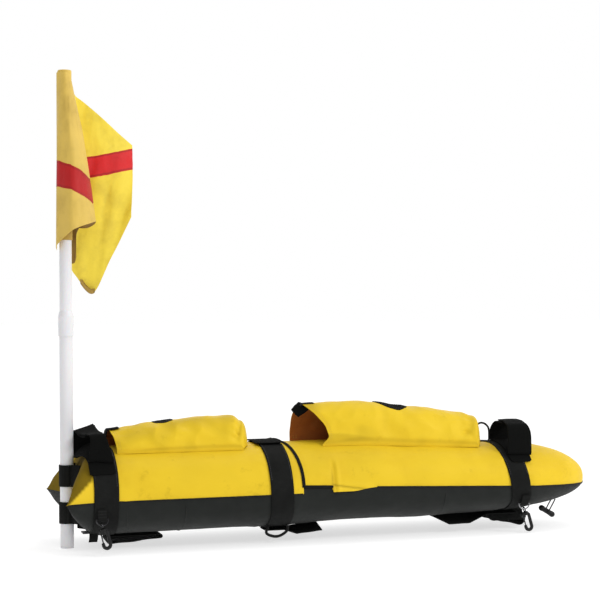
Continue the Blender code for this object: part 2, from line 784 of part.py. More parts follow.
def build_sliders(parts, cutters):
    for name, x in (("rear_slider", REAR_STRAP_X), ("middle_slider", MIDDLE_STRAP_X),
                    ("front_slider", FRONT_STRAP_X)):
        lowest = min(hull_bottom(x + WEBBING_WIDTH / 2 * side, 0.0) for side in (-1, 0, 1))
        z = lowest - strap_stack() + SEAT / 2 - SLIDER_THICKNESS / 2
        frame = block(name, (SLIDER_LENGTH, SLIDER_WIDTH, SLIDER_THICKNESS), (x, SLIDER_Y, z),
                      black_plastic(), parts)
        for side in (-1, 1):
            shift = side * (SLIDER_WIDTH / 4 - SLIDER_SLOT_WIDTH / 4)
            slot = block(name + "_slot", (SLIDER_SLOT_LENGTH, SLIDER_SLOT_WIDTH, SLIDER_THICKNESS + CUT_OVERRUN),
                         (x, SLIDER_Y + shift * 1.0, z), black_plastic(), parts)
            boolean(frame, slot, "DIFFERENCE", cutters)


# Pockets.

POCKET_ARCH_STEPS = 14


def pocket_point(spec, share, turn):
    """Point of a pocket: an arch over the hull whose height follows the shares."""
    start, end, height, slant, shares = spec
    x = start + (end - start) * share
    mouth = clamp(1.0 - (x - start) / POCKET_MOUTH_REACH)
    across = math.cos(turn)
    lean = (1.0 - across + (1.0 + across) * POCKET_MOUTH_FAR_SHARE) / 2
    x += slant * mouth * across * across * lean
    x -= POCKET_END_ROUND * across * across * clamp(1.0 - (end - x) / POCKET_MOUTH_REACH)
    power = POCKET_POWER + (POCKET_MOUTH_POWER - POCKET_POWER) * mouth
    side = math.copysign(abs(across) ** (2.0 / power), across)
    up = abs(math.sin(turn)) ** (2.0 / power)
    y = side * POCKET_HALF_WIDTH
    base = hull_top(x, POCKET_HALF_WIDTH) + SEAT
    top = hull_top(x, 0.0) + height * smooth_line(shares, share)
    z = base + (top - base) * up
    return Vector((x, y, max(z, hull_top(x, y) + SEAT)))


def pocket_spec(which):
    if which == "front":
        return (FRONT_POCKET_START, FRONT_POCKET_END, FRONT_POCKET_HEIGHT,
                FRONT_POCKET_MOUTH_SLANT, FRONT_POCKET_SHARES)
    return (REAR_POCKET_START, REAR_POCKET_END, REAR_POCKET_HEIGHT,
            REAR_POCKET_MOUTH_SLANT, REAR_POCKET_SHARES)


POCKET_ROW_SHARES = (0.0, 0.07, 0.15, 0.25, 0.40, 0.55, 0.68, 0.80, 0.90, 0.945, 0.97, 0.982, 0.992, 1.0)


def build_pocket(which, parts):
    spec = pocket_spec(which)
    rows = []
    for share in POCKET_ROW_SHARES:
        rows.append([pocket_point(spec, share, math.pi * i / POCKET_ARCH_STEPS)
                     for i in range(POCKET_ARCH_STEPS + 1)])
    sheet(which + "_pocket", rows, POCKET_THICKNESS, yellow_fabric(), parts)


def build_mouth_tab(which, parts):
    """Hook-and-loop tab sewn over the top of a pocket's mouth."""
    spec = pocket_spec(which)
    start = spec[0]
    lift = POCKET_THICKNESS + STRAP_SEAT
    overhang = FRONT_TAB_OVERHANG if which == "front" else REAR_TAB_OVERHANG
    steps = 4
    rows = []
    for share in (1.0, 0.5, 0.0):
        x = start + MOUTH_TAB_LAP * share
        rows.append([(x, i) for i in range(steps + 1)])
    rows.append([(start - overhang * 0.7, i) for i in range(steps + 1)])
    rows.append([(start - overhang, i) for i in range(steps + 1)])
    drops = (0.0, 0.0, 0.0, MOUTH_TAB_DROP * 0.25, MOUTH_TAB_DROP)
    grid = []
    for line, drop in zip(rows, drops):
        points = []
        for x, i in line:
            y = MOUTH_TAB_WIDTH * (0.5 - i / steps)
            turn = math.acos((y / POCKET_HALF_WIDTH) ** 1.0)
            share = clamp((x - start) / (spec[1] - start))
            top = pocket_point(spec, share, turn)
            points.append(Vector((x, top.y, top.z + lift - drop)))
        grid.append(points)
    sheet(which + "_pocket_tab", grid, NARROW_WEBBING_THICKNESS, black_webbing(), parts, side=-1.0)


# Rings of hook-and-loop strap on top of the hull.

def ring_section(x, near_y, far_y, top, stack, flap):
    """Section of a ring strap as (y, z) pairs, from its flap round to its end."""
    corner = RING_CORNER
    floor_near = hull_top(x, near_y + corner * 0.4, stack)
    floor_far = hull_top(x, far_y, stack)
    pairs = []
    pairs += flap
    pairs += arc(near_y + corner, top - corner, corner, 90, 180, 6)
    pairs += arc(near_y + corner * 0.5, floor_near + corner * 0.5, corner * 0.5, 180, 230, 3)
    steps = 9
    first = near_y + corner * 0.5
    last = far_y - corner * 0.5
    for i in range(steps + 1):
        y = first + (last - first) * i / steps
        pairs.append((y, hull_top(x, y, stack)))
    pairs += arc(far_y - corner * 0.5, floor_far + corner * 0.5, corner * 0.5, -50, 0, 3)
    pairs += arc(far_y - corner, top - corner, corner, 0, 90, 6)
    return pairs


FRONT_RING_ROWS = 4
REAR_RING_ROWS = 7


def build_gun_straps(parts):
    stack = strap_stack() + SEAT
    rows = []
    for r in range(FRONT_RING_ROWS):
        x = FRONT_RING_X - GUN_STRAP_WIDTH / 2 + GUN_STRAP_WIDTH * r / (FRONT_RING_ROWS - 1)
        top = FRONT_RING_TOP + RING_FLAP_LIFT
        flap = [(FRONT_RING_FAR_Y - RING_CORNER * 1.6, top), (RING_NEAR_Y + RING_CORNER * 1.9, top)]
        pairs = ring_section(x, RING_NEAR_Y, FRONT_RING_FAR_Y, FRONT_RING_TOP, stack, flap)
        pairs.append((RING_NEAR_Y + RING_CORNER * 2.2, FRONT_RING_TOP))
        rows.append([Vector((x, y, z)) for y, z in pairs])
    sheet("front_gun_strap", rows, GUN_STRAP_THICKNESS, black_webbing(), parts, side=-1.0)
    rows = []
    for r in range(REAR_RING_ROWS):
        x = REAR_RING_X - GUN_STRAP_WIDTH / 2 + GUN_STRAP_WIDTH * r / (REAR_RING_ROWS - 1)
        top = REAR_RING_TOP + RING_FLAP_LIFT
        flap = [(REAR_RING_FAR_Y - RING_CORNER * 1.6, top), (RING_NEAR_Y + RING_CORNER * 1.9, top)]
        pairs = ring_section(x, RING_NEAR_Y, REAR_RING_FAR_Y, REAR_RING_TOP, stack, flap)
        pairs.append((RING_NEAR_Y + RING_CORNER * 2.2, REAR_RING_TOP))
        rows.append([Vector((x, y, z)) for y, z in pairs])
    sheet("rear_gun_strap", rows, GUN_STRAP_THICKNESS, black_webbing(), parts, side=-1.0)


# Loops and tails under the hull.

def build_belly_loop(name, start, end, bottom, strap_x, layer, tilt, nip, parts):
    """Webbing folded to a flat loop along X and sewn under a hull strap.

    Its lower run is nipped towards one end, -1 or 1, and lies higher by the
    tilt at its far edge, so that it shows its face to the near side.
    """
    edge_y = BELLY_LOOP_Y + BELLY_LOOP_WIDTH / 2
    strap = [strap_x + WEBBING_WIDTH / 2 * side for side in (-1, 0, 1)]
    ceiling = min(hull_bottom(x, edge_y) for x in strap if start < x < end) - strap_stack()
    ceiling = min(ceiling, hull_bottom(start + WEBBING_WIDTH / 4, edge_y) - SEAT) - layer
    rows = []
    for y, low in ((BELLY_LOOP_Y - BELLY_LOOP_WIDTH / 2, bottom), (BELLY_LOOP_Y + BELLY_LOOP_WIDTH / 2, bottom + tilt)):
        full = (ceiling - low) / 2
        nipped = min(BELLY_LOOP_NIP_RADIUS, full)
        rear, front = (nipped, full) if nip < 0 else (full, nipped)
        pairs = arc(start + rear, ceiling - rear, rear, 90, 270, 8)
        pairs += arc(end - front, ceiling - front, front, -90, 90, 8)
        rows.append([Vector((x, y, z)) for x, z in pairs])
    sheet(name, rows, WEBBING_THICKNESS, black_webbing(), parts, wrap=True)


def build_strap_tail(name, strap_x, direction, level, length, drop, parts):
    """Loose end of a hull strap, sagging from under the strap, near edge lowest."""
    steps = 10
    lap = WEBBING_WIDTH * 0.4
    edge_y = TAIL_SHEET_Y + WEBBING_WIDTH / 2
    rows = []
    ends = [strap_x + WEBBING_WIDTH / 2 * side for side in (-1, 1)]
    ceiling = min(min(hull_bottom(x, edge_y) for x in ends) - strap_stack(),
                  hull_bottom(strap_x + direction * level, edge_y) - SEAT)
    for i in range(steps + 1):
        share = i / steps
        x = strap_x + direction * (length * share - lap)
        loose = clamp((share * length - lap - level) / (length - lap - level))
        line = []
        for side in (-1, 1):
            tilt = TAIL_SHEET_TILT * (1 - side) / 2 * loose ** 0.6
            z = ceiling - WEBBING_THICKNESS / 2 - drop * loose ** 1.3 - tilt
            line.append(Vector((x, TAIL_SHEET_Y + WEBBING_WIDTH / 2 * side, z)))
        rows.append(line)
    sheet(name, rows, WEBBING_THICKNESS, black_webbing(), parts, side=0.0)


# Lift loop.

def build_lift_loop(parts):
    centre = (LIFT_LOOP_REAR_X + LIFT_LOOP_FRONT_X) / 2
    half = (LIFT_LOOP_FRONT_X - LIFT_LOOP_REAR_X) / 2
    edges = (centre - LIFT_BASE_LENGTH / 2, centre, centre + LIFT_BASE_LENGTH / 2)
    steps = 4
    rows = []
    for x in edges:
        rows.append([Vector((x, LIFT_BASE_WIDTH * (0.5 - i / steps), 0.0)) for i in range(steps + 1)])
        for point in rows[-1]:
            point.z = hull_top(x, point.y) + SEAT
    sheet("lift_loop_base", rows, WEBBING_THICKNESS, black_webbing(), parts)
    foot = hull_top(LIFT_LOOP_REAR_X, 0.0) + SEAT + WEBBING_THICKNESS + SEAT
    shoulder = LIFT_LOOP_TOP - LIFT_CORD_DIAMETER / 2 - half
    pairs = [(centre - half, foot), (centre - half, (foot + shoulder) / 2)]
    pairs += [(centre + x, shoulder + z) for x, z in arc(0.0, 0.0, half, 180, 0, 10)]
    pairs += [(centre + half, (foot + shoulder) / 2), (centre + half, foot)]
    points = [Vector((x, 0.0, z)) for x, z in pairs]
    tube_curve("lift_loop", points, LIFT_CORD_DIAMETER, black_plastic(), parts, resolution=3)


# Flag pole.

def build_pole(parts):
    place = Vector((POLE_X, 0.0, 0.0))
    lower_r = LOWER_TUBE_DIAMETER / 2
    upper_r = UPPER_TUBE_DIAMETER / 2
    bell_bore = lower_r + RUNNING_GAP
    bell_r = bell_bore + BELL_WALL
    lower_bore = lower_r - TUBE_WALL
    upper_bore = upper_r - TUBE_WALL
    shoulder = BELL_MOUTH_HEIGHT + BELL_DEPTH
    lower_top = shoulder - SEAT
    foot_top = POLE_FOOT_FLANGE + SEAT
    foot = turned("pole_foot", [
        (0.0, POLE_FOOT_FLANGE + POLE_FOOT_SPIGOT),
        (lower_bore - RUNNING_GAP, POLE_FOOT_FLANGE + POLE_FOOT_SPIGOT),
        (lower_bore - RUNNING_GAP, POLE_FOOT_FLANGE),
        (lower_r, POLE_FOOT_FLANGE),
        (lower_r, 0.0),
        (0.0, 0.0)], black_plastic(), parts)
    lower = turned("lower_pole", [
        (lower_bore, lower_top), (lower_r, lower_top), (lower_r, foot_top), (lower_bore, foot_top)],
        white_tube(), parts)
    upper = turned("upper_pole", [
        (upper_bore, POLE_HEIGHT), (upper_r, POLE_HEIGHT), (upper_r, shoulder + BELL_TAPER),
        (bell_r, shoulder), (bell_r, BELL_MOUTH_HEIGHT), (bell_bore, BELL_MOUTH_HEIGHT),
        (bell_bore, shoulder), (upper_bore, shoulder)], white_tube(), parts)
    for piece in (foot, lower, upper):
        piece.location = place


def pole_loop_rows(z_centre):
    """Webbing round the pole whose two legs end on the hull's tail."""
    inner = LOWER_TUBE_DIAMETER / 2 + RUNNING_GAP
    row_count = 4
    rows = []
    for r in range(row_count):
        z = z_centre - WEBBING_WIDTH / 2 + WEBBING_WIDTH * r / (row_count - 1)
        pairs = arc(POLE_X, 0.0, inner, 60, 300, 16)
        leg_y = POLE_LOOP_SPREAD
        skin = tail_skin_x(z, leg_y + WEBBING_THICKNESS) - STRAP_SEAT
        leg = (skin, leg_y)
        bend = (skin - WEBBING_THICKNESS * 2, leg_y * 0.75)
        line = [leg, bend, *pairs, (bend[0], -bend[1]), (leg[0], -leg[1])]
        rows.append([Vector((x, y, z)) for x, y in line])
    return rows


def tail_skin_x(z, y):
    """X of the hull's end slope at a height, found by halving."""
    low = TAIL_X
    high = TAIL_MIDDLE_X + TAIL_EDGE_REACH
    for _ in range(40):
        x = (low + high) / 2
        across = clamp(abs(y) / half_width(x))
        up = (1.0 - across ** SECTION_POWER) ** (1.0 / SECTION_POWER)
        if z >= SEAM_HEIGHT:
            reached = up * CROWN_HEIGHT * end_share(x, across, NOSE_CROWN_LENGTH, 0.0) >= z - SEAM_HEIGHT
        else:
            reached = up * KEEL_DEPTH * end_share(x, across, NOSE_KEEL_LENGTH, 0.0) >= SEAM_HEIGHT - z
        if reached:
            high = x
        else:
            low = x
    return high


def build_pole_loops(parts):
    for name, z in (("upper_pole_loop", UPPER_LOOP_Z), ("lower_pole_loop", LOWER_LOOP_Z)):
        sheet(name, pole_loop_rows(z), WEBBING_THICKNESS, black_webbing(), parts)


# Flag cloth: columns run down the hoist, and each column is a line in the
# air given by its top, middle and bottom, all from the flag's own sizes.

SLEEVE_OUTER = UPPER_TUBE_DIAMETER / 2 + SLEEVE_CLEARANCE + SLEEVE_WALL
FLAG_CLEAR_RADIUS = SLEEVE_OUTER + FLAG_CLOTH_THICKNESS + SEAT
# Each line: share along the fly, then (x, y, z) shares of the flag's height
# at the top hem, the middle and the bottom hem, measured from the pole's top.
FLAG_COLUMN_SHARES = (
    (0.00, ((-0.050, 0.010, -0.004), (-0.052, 0.006, -0.500), (-0.054, 0.000, -1.090))),
    (0.06, ((-0.040, -0.048, -0.004), (-0.058, -0.062, -0.500), (-0.062, -0.090, -1.070))),
    (0.16, ((-0.006, -0.070, -0.006), (0.010, -0.130, -0.490), (0.022, -0.200, -1.000))),
    (0.30, ((0.034, -0.060, -0.020), (0.078, -0.110, -0.440), (0.116, -0.170, -0.955))),
    (0.40, ((0.058, -0.030, -0.050), (0.112, -0.040, -0.420), (0.160, -0.070, -0.930))),
    (0.50, ((0.078, 0.030, -0.080), (0.096, 0.060, -0.450), (0.104, 0.080, -1.000))),
    (0.62, ((0.150, 0.060, -0.160), (0.130, 0.110, -0.600), (0.092, 0.130, -1.180))),
    (0.76, ((0.240, 0.070, -0.245), (0.230, 0.100, -0.640), (0.105, 0.120, -1.355))),
    (0.88, ((0.330, 0.110, -0.340), (0.320, 0.120, -0.640), (0.150, 0.110, -1.372))),
    (1.00, ((0.428, 0.170, -0.442), (0.430, 0.150, -0.640), (0.418, 0.100, -0.905))),
)
# Edges of the stripe: share along the fly, then its top and its bottom as
# shares of the cloth's depth there, which the folds make uneven.
STRIPE_EDGE_SHARES = ((0.00, 0.55, 0.67), (0.15, 0.62, 0.75), (0.30, 0.71, 0.86), (0.42, 0.64, 0.79), (0.50, 0.57, 0.70),
                      (0.62, 0.43, 0.57), (0.76, 0.35, 0.52), (0.88, 0.27, 0.50), (1.00, 0.15, 0.48))
FLAG_COLUMNS = 26
FLAG_PANEL_ROWS = 7


def spline(points, value):
    """Smooth curve through (place, Vector) pairs, read at one place."""
    count = len(points)
    for i in range(count - 1):
        if value <= points[i + 1][0] or i == count - 2:
            t = clamp((value - points[i][0]) / (points[i + 1][0] - points[i][0]))
            b = points[i][1]
            c = points[i + 1][1]
            a = points[i - 1][1] if i > 0 else b * 2 - c
            d = points[i + 2][1] if i + 2 < count else c * 2 - b
            return ((b * 2) + (c - a) * t + (a * 2 - b * 5 + c * 4 - d) * t ** 2
                    + (b * 3 - a - c * 3 + d) * t ** 3) / 2
    return points[-1][1]


def flag_point(along, down):
    """Point of the cloth at a share along the fly and a share down the hoist."""
    lines = []
    for level in range(3):
        column = [(share, Vector(spots[level])) for share, spots in FLAG_COLUMN_SHARES]
        lines.append(spline(column, along))
    shares = spline([(0.0, lines[0]), (0.5, lines[1]), (1.0, lines[2])], down)
    aside = Vector((shares.x * FLAG_LENGTH, shares.y * FLAG_LENGTH, 0.0))
    if 0.0 < aside.length < FLAG_CLEAR_RADIUS:
        aside = aside.normalized() * FLAG_CLEAR_RADIUS
    return Vector((POLE_X, 0.0, FLAG_TOP + shares.z * FLAG_HEIGHT)) + aside


def stripe_edge(along, edge):
    """Share down the cloth of the stripe's top edge, 1, or bottom edge, 2."""
    for a, b in zip(STRIPE_EDGE_SHARES, STRIPE_EDGE_SHARES[1:]):
        if along <= b[0]:
            return a[edge] + (b[edge] - a[edge]) * (along - a[0]) / (b[0] - a[0])
    return STRIPE_EDGE_SHARES[-1][edge]


def flag_rows(first, last, count):
    """Rows of a panel between two edges, each a function of the fly's share."""
    rows = []
    for r in range(count):
        line = []
        for c in range(FLAG_COLUMNS + 1):
            along = c / FLAG_COLUMNS
            line.append(flag_point(along, first(along) + (last(along) - first(along)) * r / (count - 1)))
        rows.append(line)
    return rows


def build_flag(parts):
    gap = CLOTH_SEAM_GAP / FLAG_HEIGHT
    for name, first, last, look in (
            ("flag_upper_panel", lambda along: 0.0, lambda along: stripe_edge(along, 1) - gap, yellow_fabric()),
            ("flag_stripe", lambda along: stripe_edge(along, 1), lambda along: stripe_edge(along, 2), red_fabric()),
            ("flag_lower_panel", lambda along: stripe_edge(along, 2) + gap, lambda along: 1.0, yellow_fabric())):
        rows = flag_rows(first, last, FLAG_PANEL_ROWS)
        sheet(name, rows, FLAG_CLOTH_THICKNESS, look, parts, side=0.0)
    inner = UPPER_TUBE_DIAMETER / 2 + SLEEVE_CLEARANCE
    outer = inner + SLEEVE_WALL
    top = POLE_HEIGHT + SEAT
    sleeve = turned("flag_sleeve", [
        (0.0, top + SLEEVE_TOP_RISE), (inner, top + SLEEVE_TOP_RISE), (outer, top), (outer, FLAG_BOTTOM),
        (inner, FLAG_BOTTOM), (inner, top), (0.0, top)], yellow_fabric(), parts)
    sleeve.location = (POLE_X, 0.0, 0.0)


# Valve.

def build_valve(parts):
    """Inflation valve through the lower cover, square to the hull's side."""
    angle = valve_angle()
    here = hull_point(VALVE_X, angle)
    step = math.radians(1)
    along = hull_point(VALVE_X, angle + step) - hull_point(VALVE_X, angle - step)
    normal = Vector((0.0, along.z, -along.y)).normalized()
    place = Matrix.Translation(here) @ UP.rotation_difference(normal).to_matrix().to_4x4()
    neck = VALVE_NECK_DIAMETER / 2
    flange = VALVE_FLANGE_DIAMETER / 2
    stem = VALVE_STEM_DIAMETER / 2
    bore = VALVE_BORE / 2
    base = SEAT
    top = base + VALVE_FLANGE_THICKNESS
    tip = top + VALVE_STEM_HEIGHT
    body = turned("valve_body", [
        (bore, tip), (stem, tip), (stem, top), (flange, top), (flange, base), (neck, base),
        (neck, -VALVE_NECK_LENGTH), (bore, -VALVE_NECK_LENGTH)], black_plastic(), parts, 24)
    inner = stem + RUNNING_GAP
    outer = VALVE_CAP_DIAMETER / 2
    crown = top + SEAT + VALVE_CAP_HEIGHT
    cap = turned("valve_cap", [
        (0.0, crown), (outer - VALVE_CAP_WALL / 2, crown), (outer, crown - VALVE_CAP_WALL / 2),
        (outer, top + SEAT), (inner, top + SEAT), (inner, tip + SEAT), (0.0, tip + SEAT)],
        black_plastic(), parts, 24)
    body.matrix_world = place
    cap.matrix_world = place
    print("valve at", tuple(round(v, 4) for v in here), "axis", tuple(round(v, 4) for v in normal))


# D-rings and snap hooks.

def build_ring_tab(name, x, bar, parts):
    """Webbing folded round a D-ring's bar and sewn to the hull strap above it."""
    edges = [x + NARROW_WEBBING_WIDTH / 2 * side for side in (-1, 1)]
    tab_top = bar.z + HOOK_TAB_RISE
    half_way = (tab_top + bar.z) / 2
    back = -max(hull_side(edge, tab_top, strap_stack()) for edge in edges) - NARROW_WEBBING_THICKNESS
    middle = -max(hull_side(edge, half_way, strap_stack()) for edge in edges) - NARROW_WEBBING_THICKNESS
    around = (RING_WIRE_DIAMETER + NARROW_WEBBING_THICKNESS) / 2 + RUNNING_GAP
    fold = arc(bar.y, bar.z, around, 20, -200, 10)
    pairs = [(back, tab_top), (middle, half_way)]
    pairs += fold
    lap = NARROW_WEBBING_THICKNESS + SEAT
    pairs += [(middle - lap * 1.2, half_way), (back - lap, tab_top - lap)]
    rows = []
    for side in (-1, 1):
        rows.append([Vector((x + side * NARROW_WEBBING_WIDTH / 2, y, z)) for y, z in pairs])
    sheet(name, rows, NARROW_WEBBING_THICKNESS, black_webbing(), parts, side=0.0)


def build_d_ring(name, bar, parts):
    bow = []
    for i in range(13):
        angle = math.pi + math.pi * i / 12
        bow.append(Vector((bar.x + RING_HALF_WIDTH * math.cos(angle), bar.y, bar.z + RING_DROP * math.sin(angle))))
    ring = tube_curve(name, bow, RING_WIRE_DIAMETER, bright_steel(), parts, cyclic=True)
    return ring


def hook_outline():
    """Centre line of the hook's wire in its own frame, hanging down -Z."""
    rod = COLLAR_DIAMETER / 2 - HOOK_WIRE_DIAMETER / 4
    bend_z = -HOOK_LENGTH + HOOK_BEND_RADIUS + HOOK_WIRE_DIAMETER / 2
    pairs = [(rod, collar_base()), (HOOK_BEND_RADIUS, collar_base() - HOOK_WIRE_DIAMETER)]
    pairs += arc(0.0, bend_z, HOOK_BEND_RADIUS, 0, -180, 12)
    pairs.append((-HOOK_BEND_RADIUS, bend_z + HOOK_WIRE_DIAMETER))
    return [Vector((x, 0.0, z)) for x, z in pairs], bend_z + HOOK_WIRE_DIAMETER


def collar_top():
    return -EYE_RADIUS - EYE_WIRE_DIAMETER / 2 - RUNNING_GAP


def collar_base():
    return collar_top() - COLLAR_HEIGHT / 2


def build_hook(prefix, place, parts, cutters):
    steel = bright_steel()
    eye_line = [Vector((0.0, y, z)) for y, z in arc(0.0, 0.0, EYE_RADIUS, 0, 330, 11)]
    eye = curve_to_mesh(tube_curve(prefix + "_eye", eye_line, EYE_WIRE_DIAMETER, steel, parts, cyclic=True), parts)
    low = collar_top() - COLLAR_HEIGHT - SEAT
    stem_length = -EYE_RADIUS - low
    middle = (-EYE_RADIUS + low) / 2
    stem = cylinder(prefix + "_stem", SWIVEL_STEM_DIAMETER, stem_length + SWIVEL_HEAD_THICKNESS / 2,
                    Matrix.Translation((0.0, 0.0, middle - SWIVEL_HEAD_THICKNESS / 4)), steel, parts, 12)
    head = cylinder(prefix + "_head", SWIVEL_HEAD_DIAMETER, SWIVEL_HEAD_THICKNESS,
                    Matrix.Translation((0.0, 0.0, low - SWIVEL_HEAD_THICKNESS / 2)), steel, parts, 12)
    boolean(eye, stem, "UNION", cutters)
    boolean(eye, head, "UNION", cutters)
    bore = SWIVEL_STEM_DIAMETER / 2 + RUNNING_GAP
    body = turned(prefix, [
        (bore, collar_top()), (COLLAR_DIAMETER / 2, collar_top()),
        (COLLAR_DIAMETER / 2, collar_top() - COLLAR_HEIGHT), (bore, collar_top() - COLLAR_HEIGHT)],
        black_plastic(), parts, 20)
    line, tip_z = hook_outline()
    wire = curve_to_mesh(tube_curve(prefix + "_wire", line, HOOK_WIRE_DIAMETER, black_plastic(), parts, resolution=3), parts)
    boolean(body, wire, "UNION", cutters)
    pin_x = -COLLAR_DIAMETER / 2 - GATE_BARREL_DIAMETER / 4
    pin_z = collar_top() - COLLAR_HEIGHT - GATE_BARREL_DIAMETER * 0.45
    pin_length = GATE_BARREL_DIAMETER + 2 * GATE_EAR_THICKNESS + 2 * RUNNING_GAP
    turn = Matrix.Rotation(math.pi / 2, 4, "X")
    pin = cylinder(prefix + "_pin", GATE_PIN_DIAMETER, pin_length - GATE_EAR_THICKNESS,
                   Matrix.Translation((pin_x, 0.0, pin_z)) @ turn, steel, parts, 12)
    for side in (-1, 1):
        ear_y = side * (pin_length - GATE_EAR_THICKNESS) / 2
        ear_top = collar_top() - COLLAR_HEIGHT / 2
        ear_size = (GATE_BARREL_DIAMETER * 0.9, GATE_EAR_THICKNESS, ear_top - pin_z + GATE_PIN_DIAMETER)
        ear_mid = (pin_x + GATE_BARREL_DIAMETER * 0.1, ear_y, (ear_top + pin_z - GATE_PIN_DIAMETER) / 2)
        ear = block(prefix + "_ear", ear_size, ear_mid, black_plastic(), parts)
        boolean(body, ear, "UNION", cutters)
    boolean(body, pin, "UNION", cutters)
    gate = turned(prefix + "_gate", [
        (GATE_PIN_DIAMETER / 2 + RUNNING_GAP / 2, GATE_BARREL_DIAMETER / 2),
        (GATE_BARREL_DIAMETER / 2, GATE_BARREL_DIAMETER / 2),
        (GATE_BARREL_DIAMETER / 2, -GATE_BARREL_DIAMETER / 2),
        (GATE_PIN_DIAMETER / 2 + RUNNING_GAP / 2, -GATE_BARREL_DIAMETER / 2)], steel, parts, 16)
    gate.matrix_world = Matrix.Translation((pin_x, 0.0, pin_z)) @ turn
    drop = pin_z - tip_z - HOOK_WIRE_DIAMETER * 0.1
    rod = cylinder(prefix + "_gate_rod", GATE_WIRE_DIAMETER, drop - GATE_BARREL_DIAMETER * 0.35,
                   gate.matrix_world.inverted() @ Matrix.Translation(
                       (pin_x, 0.0, (pin_z - GATE_BARREL_DIAMETER * 0.35 + tip_z + HOOK_WIRE_DIAMETER * 0.1) / 2)),
                   steel, parts, 12)
    rod.matrix_world = gate.matrix_world
    boolean(gate, rod, "UNION", cutters)
    for piece in (eye, stem, head, body, wire, pin, gate, rod):
        piece.matrix_world = place @ piece.matrix_world
    for piece in cutters.objects:
        if piece.name.startswith(prefix + "_ear"):
            piece.matrix_world = place @ piece.matrix_world
    pin_at = place @ Vector((pin_x, 0.0, pin_z))
    axis = place.to_3x3() @ Vector((0.0, 0.0, -1.0))
    print(prefix, "eye", tuple(round(v, 4) for v in place.translation), "axis", tuple(round(v, 4) for v in axis),
          "gate pin", tuple(round(v, 4) for v in pin_at))


def build_hardware(parts, cutters):
    for end, x, bar_z, tilt in (("rear", REAR_HOOK_X, REAR_RING_BAR_Z, REAR_HOOK_TILT),
                                ("front", FRONT_HOOK_X, FRONT_RING_BAR_Z, FRONT_HOOK_TILT)):
        side_y = hull_side(x - NARROW_WEBBING_WIDTH / 2, bar_z, STRAP_SEAT + WEBBING_THICKNESS)
        bar = Vector((x, -side_y - RING_BAR_OFFSET, bar_z))
        build_ring_tab(end + "_ring_tab", x, bar, parts)
        build_d_ring(end + "_d_ring", bar, parts)
        hang = (EYE_RADIUS - EYE_WIRE_DIAMETER / 2) - RING_WIRE_DIAMETER / 2 - HANG_GAP
        place = Matrix.Translation((x, bar.y, bar.z - RING_DROP - hang))
        build_hook(end + "_hook", place @ Matrix.Rotation(-tilt, 4, "Y"), parts, cutters)
        print(end, "ring bar", tuple(round(v, 4) for v in bar))


# Cords and the nose toggle.

STRINGER_ROUTE = ((-0.147, 0.0), (-0.1475, 0.0040), (-0.1505, 0.0115), (-0.144, 0.0170),
                  (-0.131, 0.0200), (-0.120, 0.0175), (-0.1105, 0.0110), (-0.1085, 0.0040), (-0.1085, 0.0))


def build_stringer(parts):
    """Cord loop that hangs from the middle strap; both ends meet the strap."""
    points = []
    for x, drop in STRINGER_ROUTE:
        ceiling = hull_bottom(x, STRINGER_Y, strap_stack()) - STRAP_SEAT
        points.append(Vector((x, STRINGER_Y, ceiling - drop)))
    line = smooth_route(points, STRINGER_DIAMETER)
    tube_curve("stringer_cord", line, STRINGER_DIAMETER, black_webbing(), parts)
    length = sum((b - a).length for a, b in zip(line, line[1:]))
    print("stringer cord length", round(length, 4), "from", points[0], "to", points[-1])


def build_nose_toggle(parts, cutters):
    half = NOSE_TOGGLE_LENGTH / 2
    full = NOSE_TOGGLE_DIAMETER / 2
    waist = full * NOSE_TOGGLE_WAIST_SHARE
    toggle = turned("nose_toggle", [
        (0.0, half), (full * 0.6, half), (full, half - full * 0.5), (full, half * 0.62), (waist, half * 0.45),
        (waist, -half * 0.45), (full, -half * 0.62), (full, -half + full * 0.5), (full * 0.6, -half), (0.0, -half)],
        black_plastic(), parts, 20)
    across = Matrix.Rotation(math.pi / 2, 4, "X")
    bore = cylinder("nose_toggle_bore", NOSE_TOGGLE_BORE, NOSE_TOGGLE_DIAMETER * 2, across, black_plastic(), parts)
    boolean(toggle, bore, "DIFFERENCE", cutters)
    place = Matrix.Translation(NOSE_TOGGLE_POINT) @ Matrix.Rotation(math.pi / 2 + NOSE_TOGGLE_TILT, 4, "Y")
    toggle.matrix_world = place
    bore.matrix_world = place
    half_span = NOSE_TOGGLE_DIAMETER
    near = NOSE_TOGGLE_POINT.y - half_span
    far = NOSE_TOGGLE_POINT.y + half_span
    top_x = NOSE_TOGGLE_POINT.x + NOSE_TOGGLE_DIAMETER * 1.6
    middle = NOSE_TOGGLE_POINT
    points = []
    for y in (near, far):
        top = Vector((top_x, y, hull_bottom(top_x, y) - NOSE_CORD_DIAMETER * 0.4))
        knee = Vector((middle.x * 0.5 + top_x * 0.5, y, (middle.z + top.z) / 2))
        low = Vector((middle.x + NOSE_CORD_DIAMETER * 0.4, y * 0.75 + middle.y * 0.25, middle.z + NOSE_CORD_DIAMETER * 0.3))
        points.append([top, knee, low])
    route = points[0] + [middle.copy()] + points[1][::-1]
    line = smooth_route(route, NOSE_CORD_DIAMETER)
    tube_curve("nose_cord", line, NOSE_CORD_DIAMETER, black_webbing(), parts, resolution=2)
    length = sum((b - a).length for a, b in zip(line, line[1:]))
    print("nose cord length", round(length, 4))


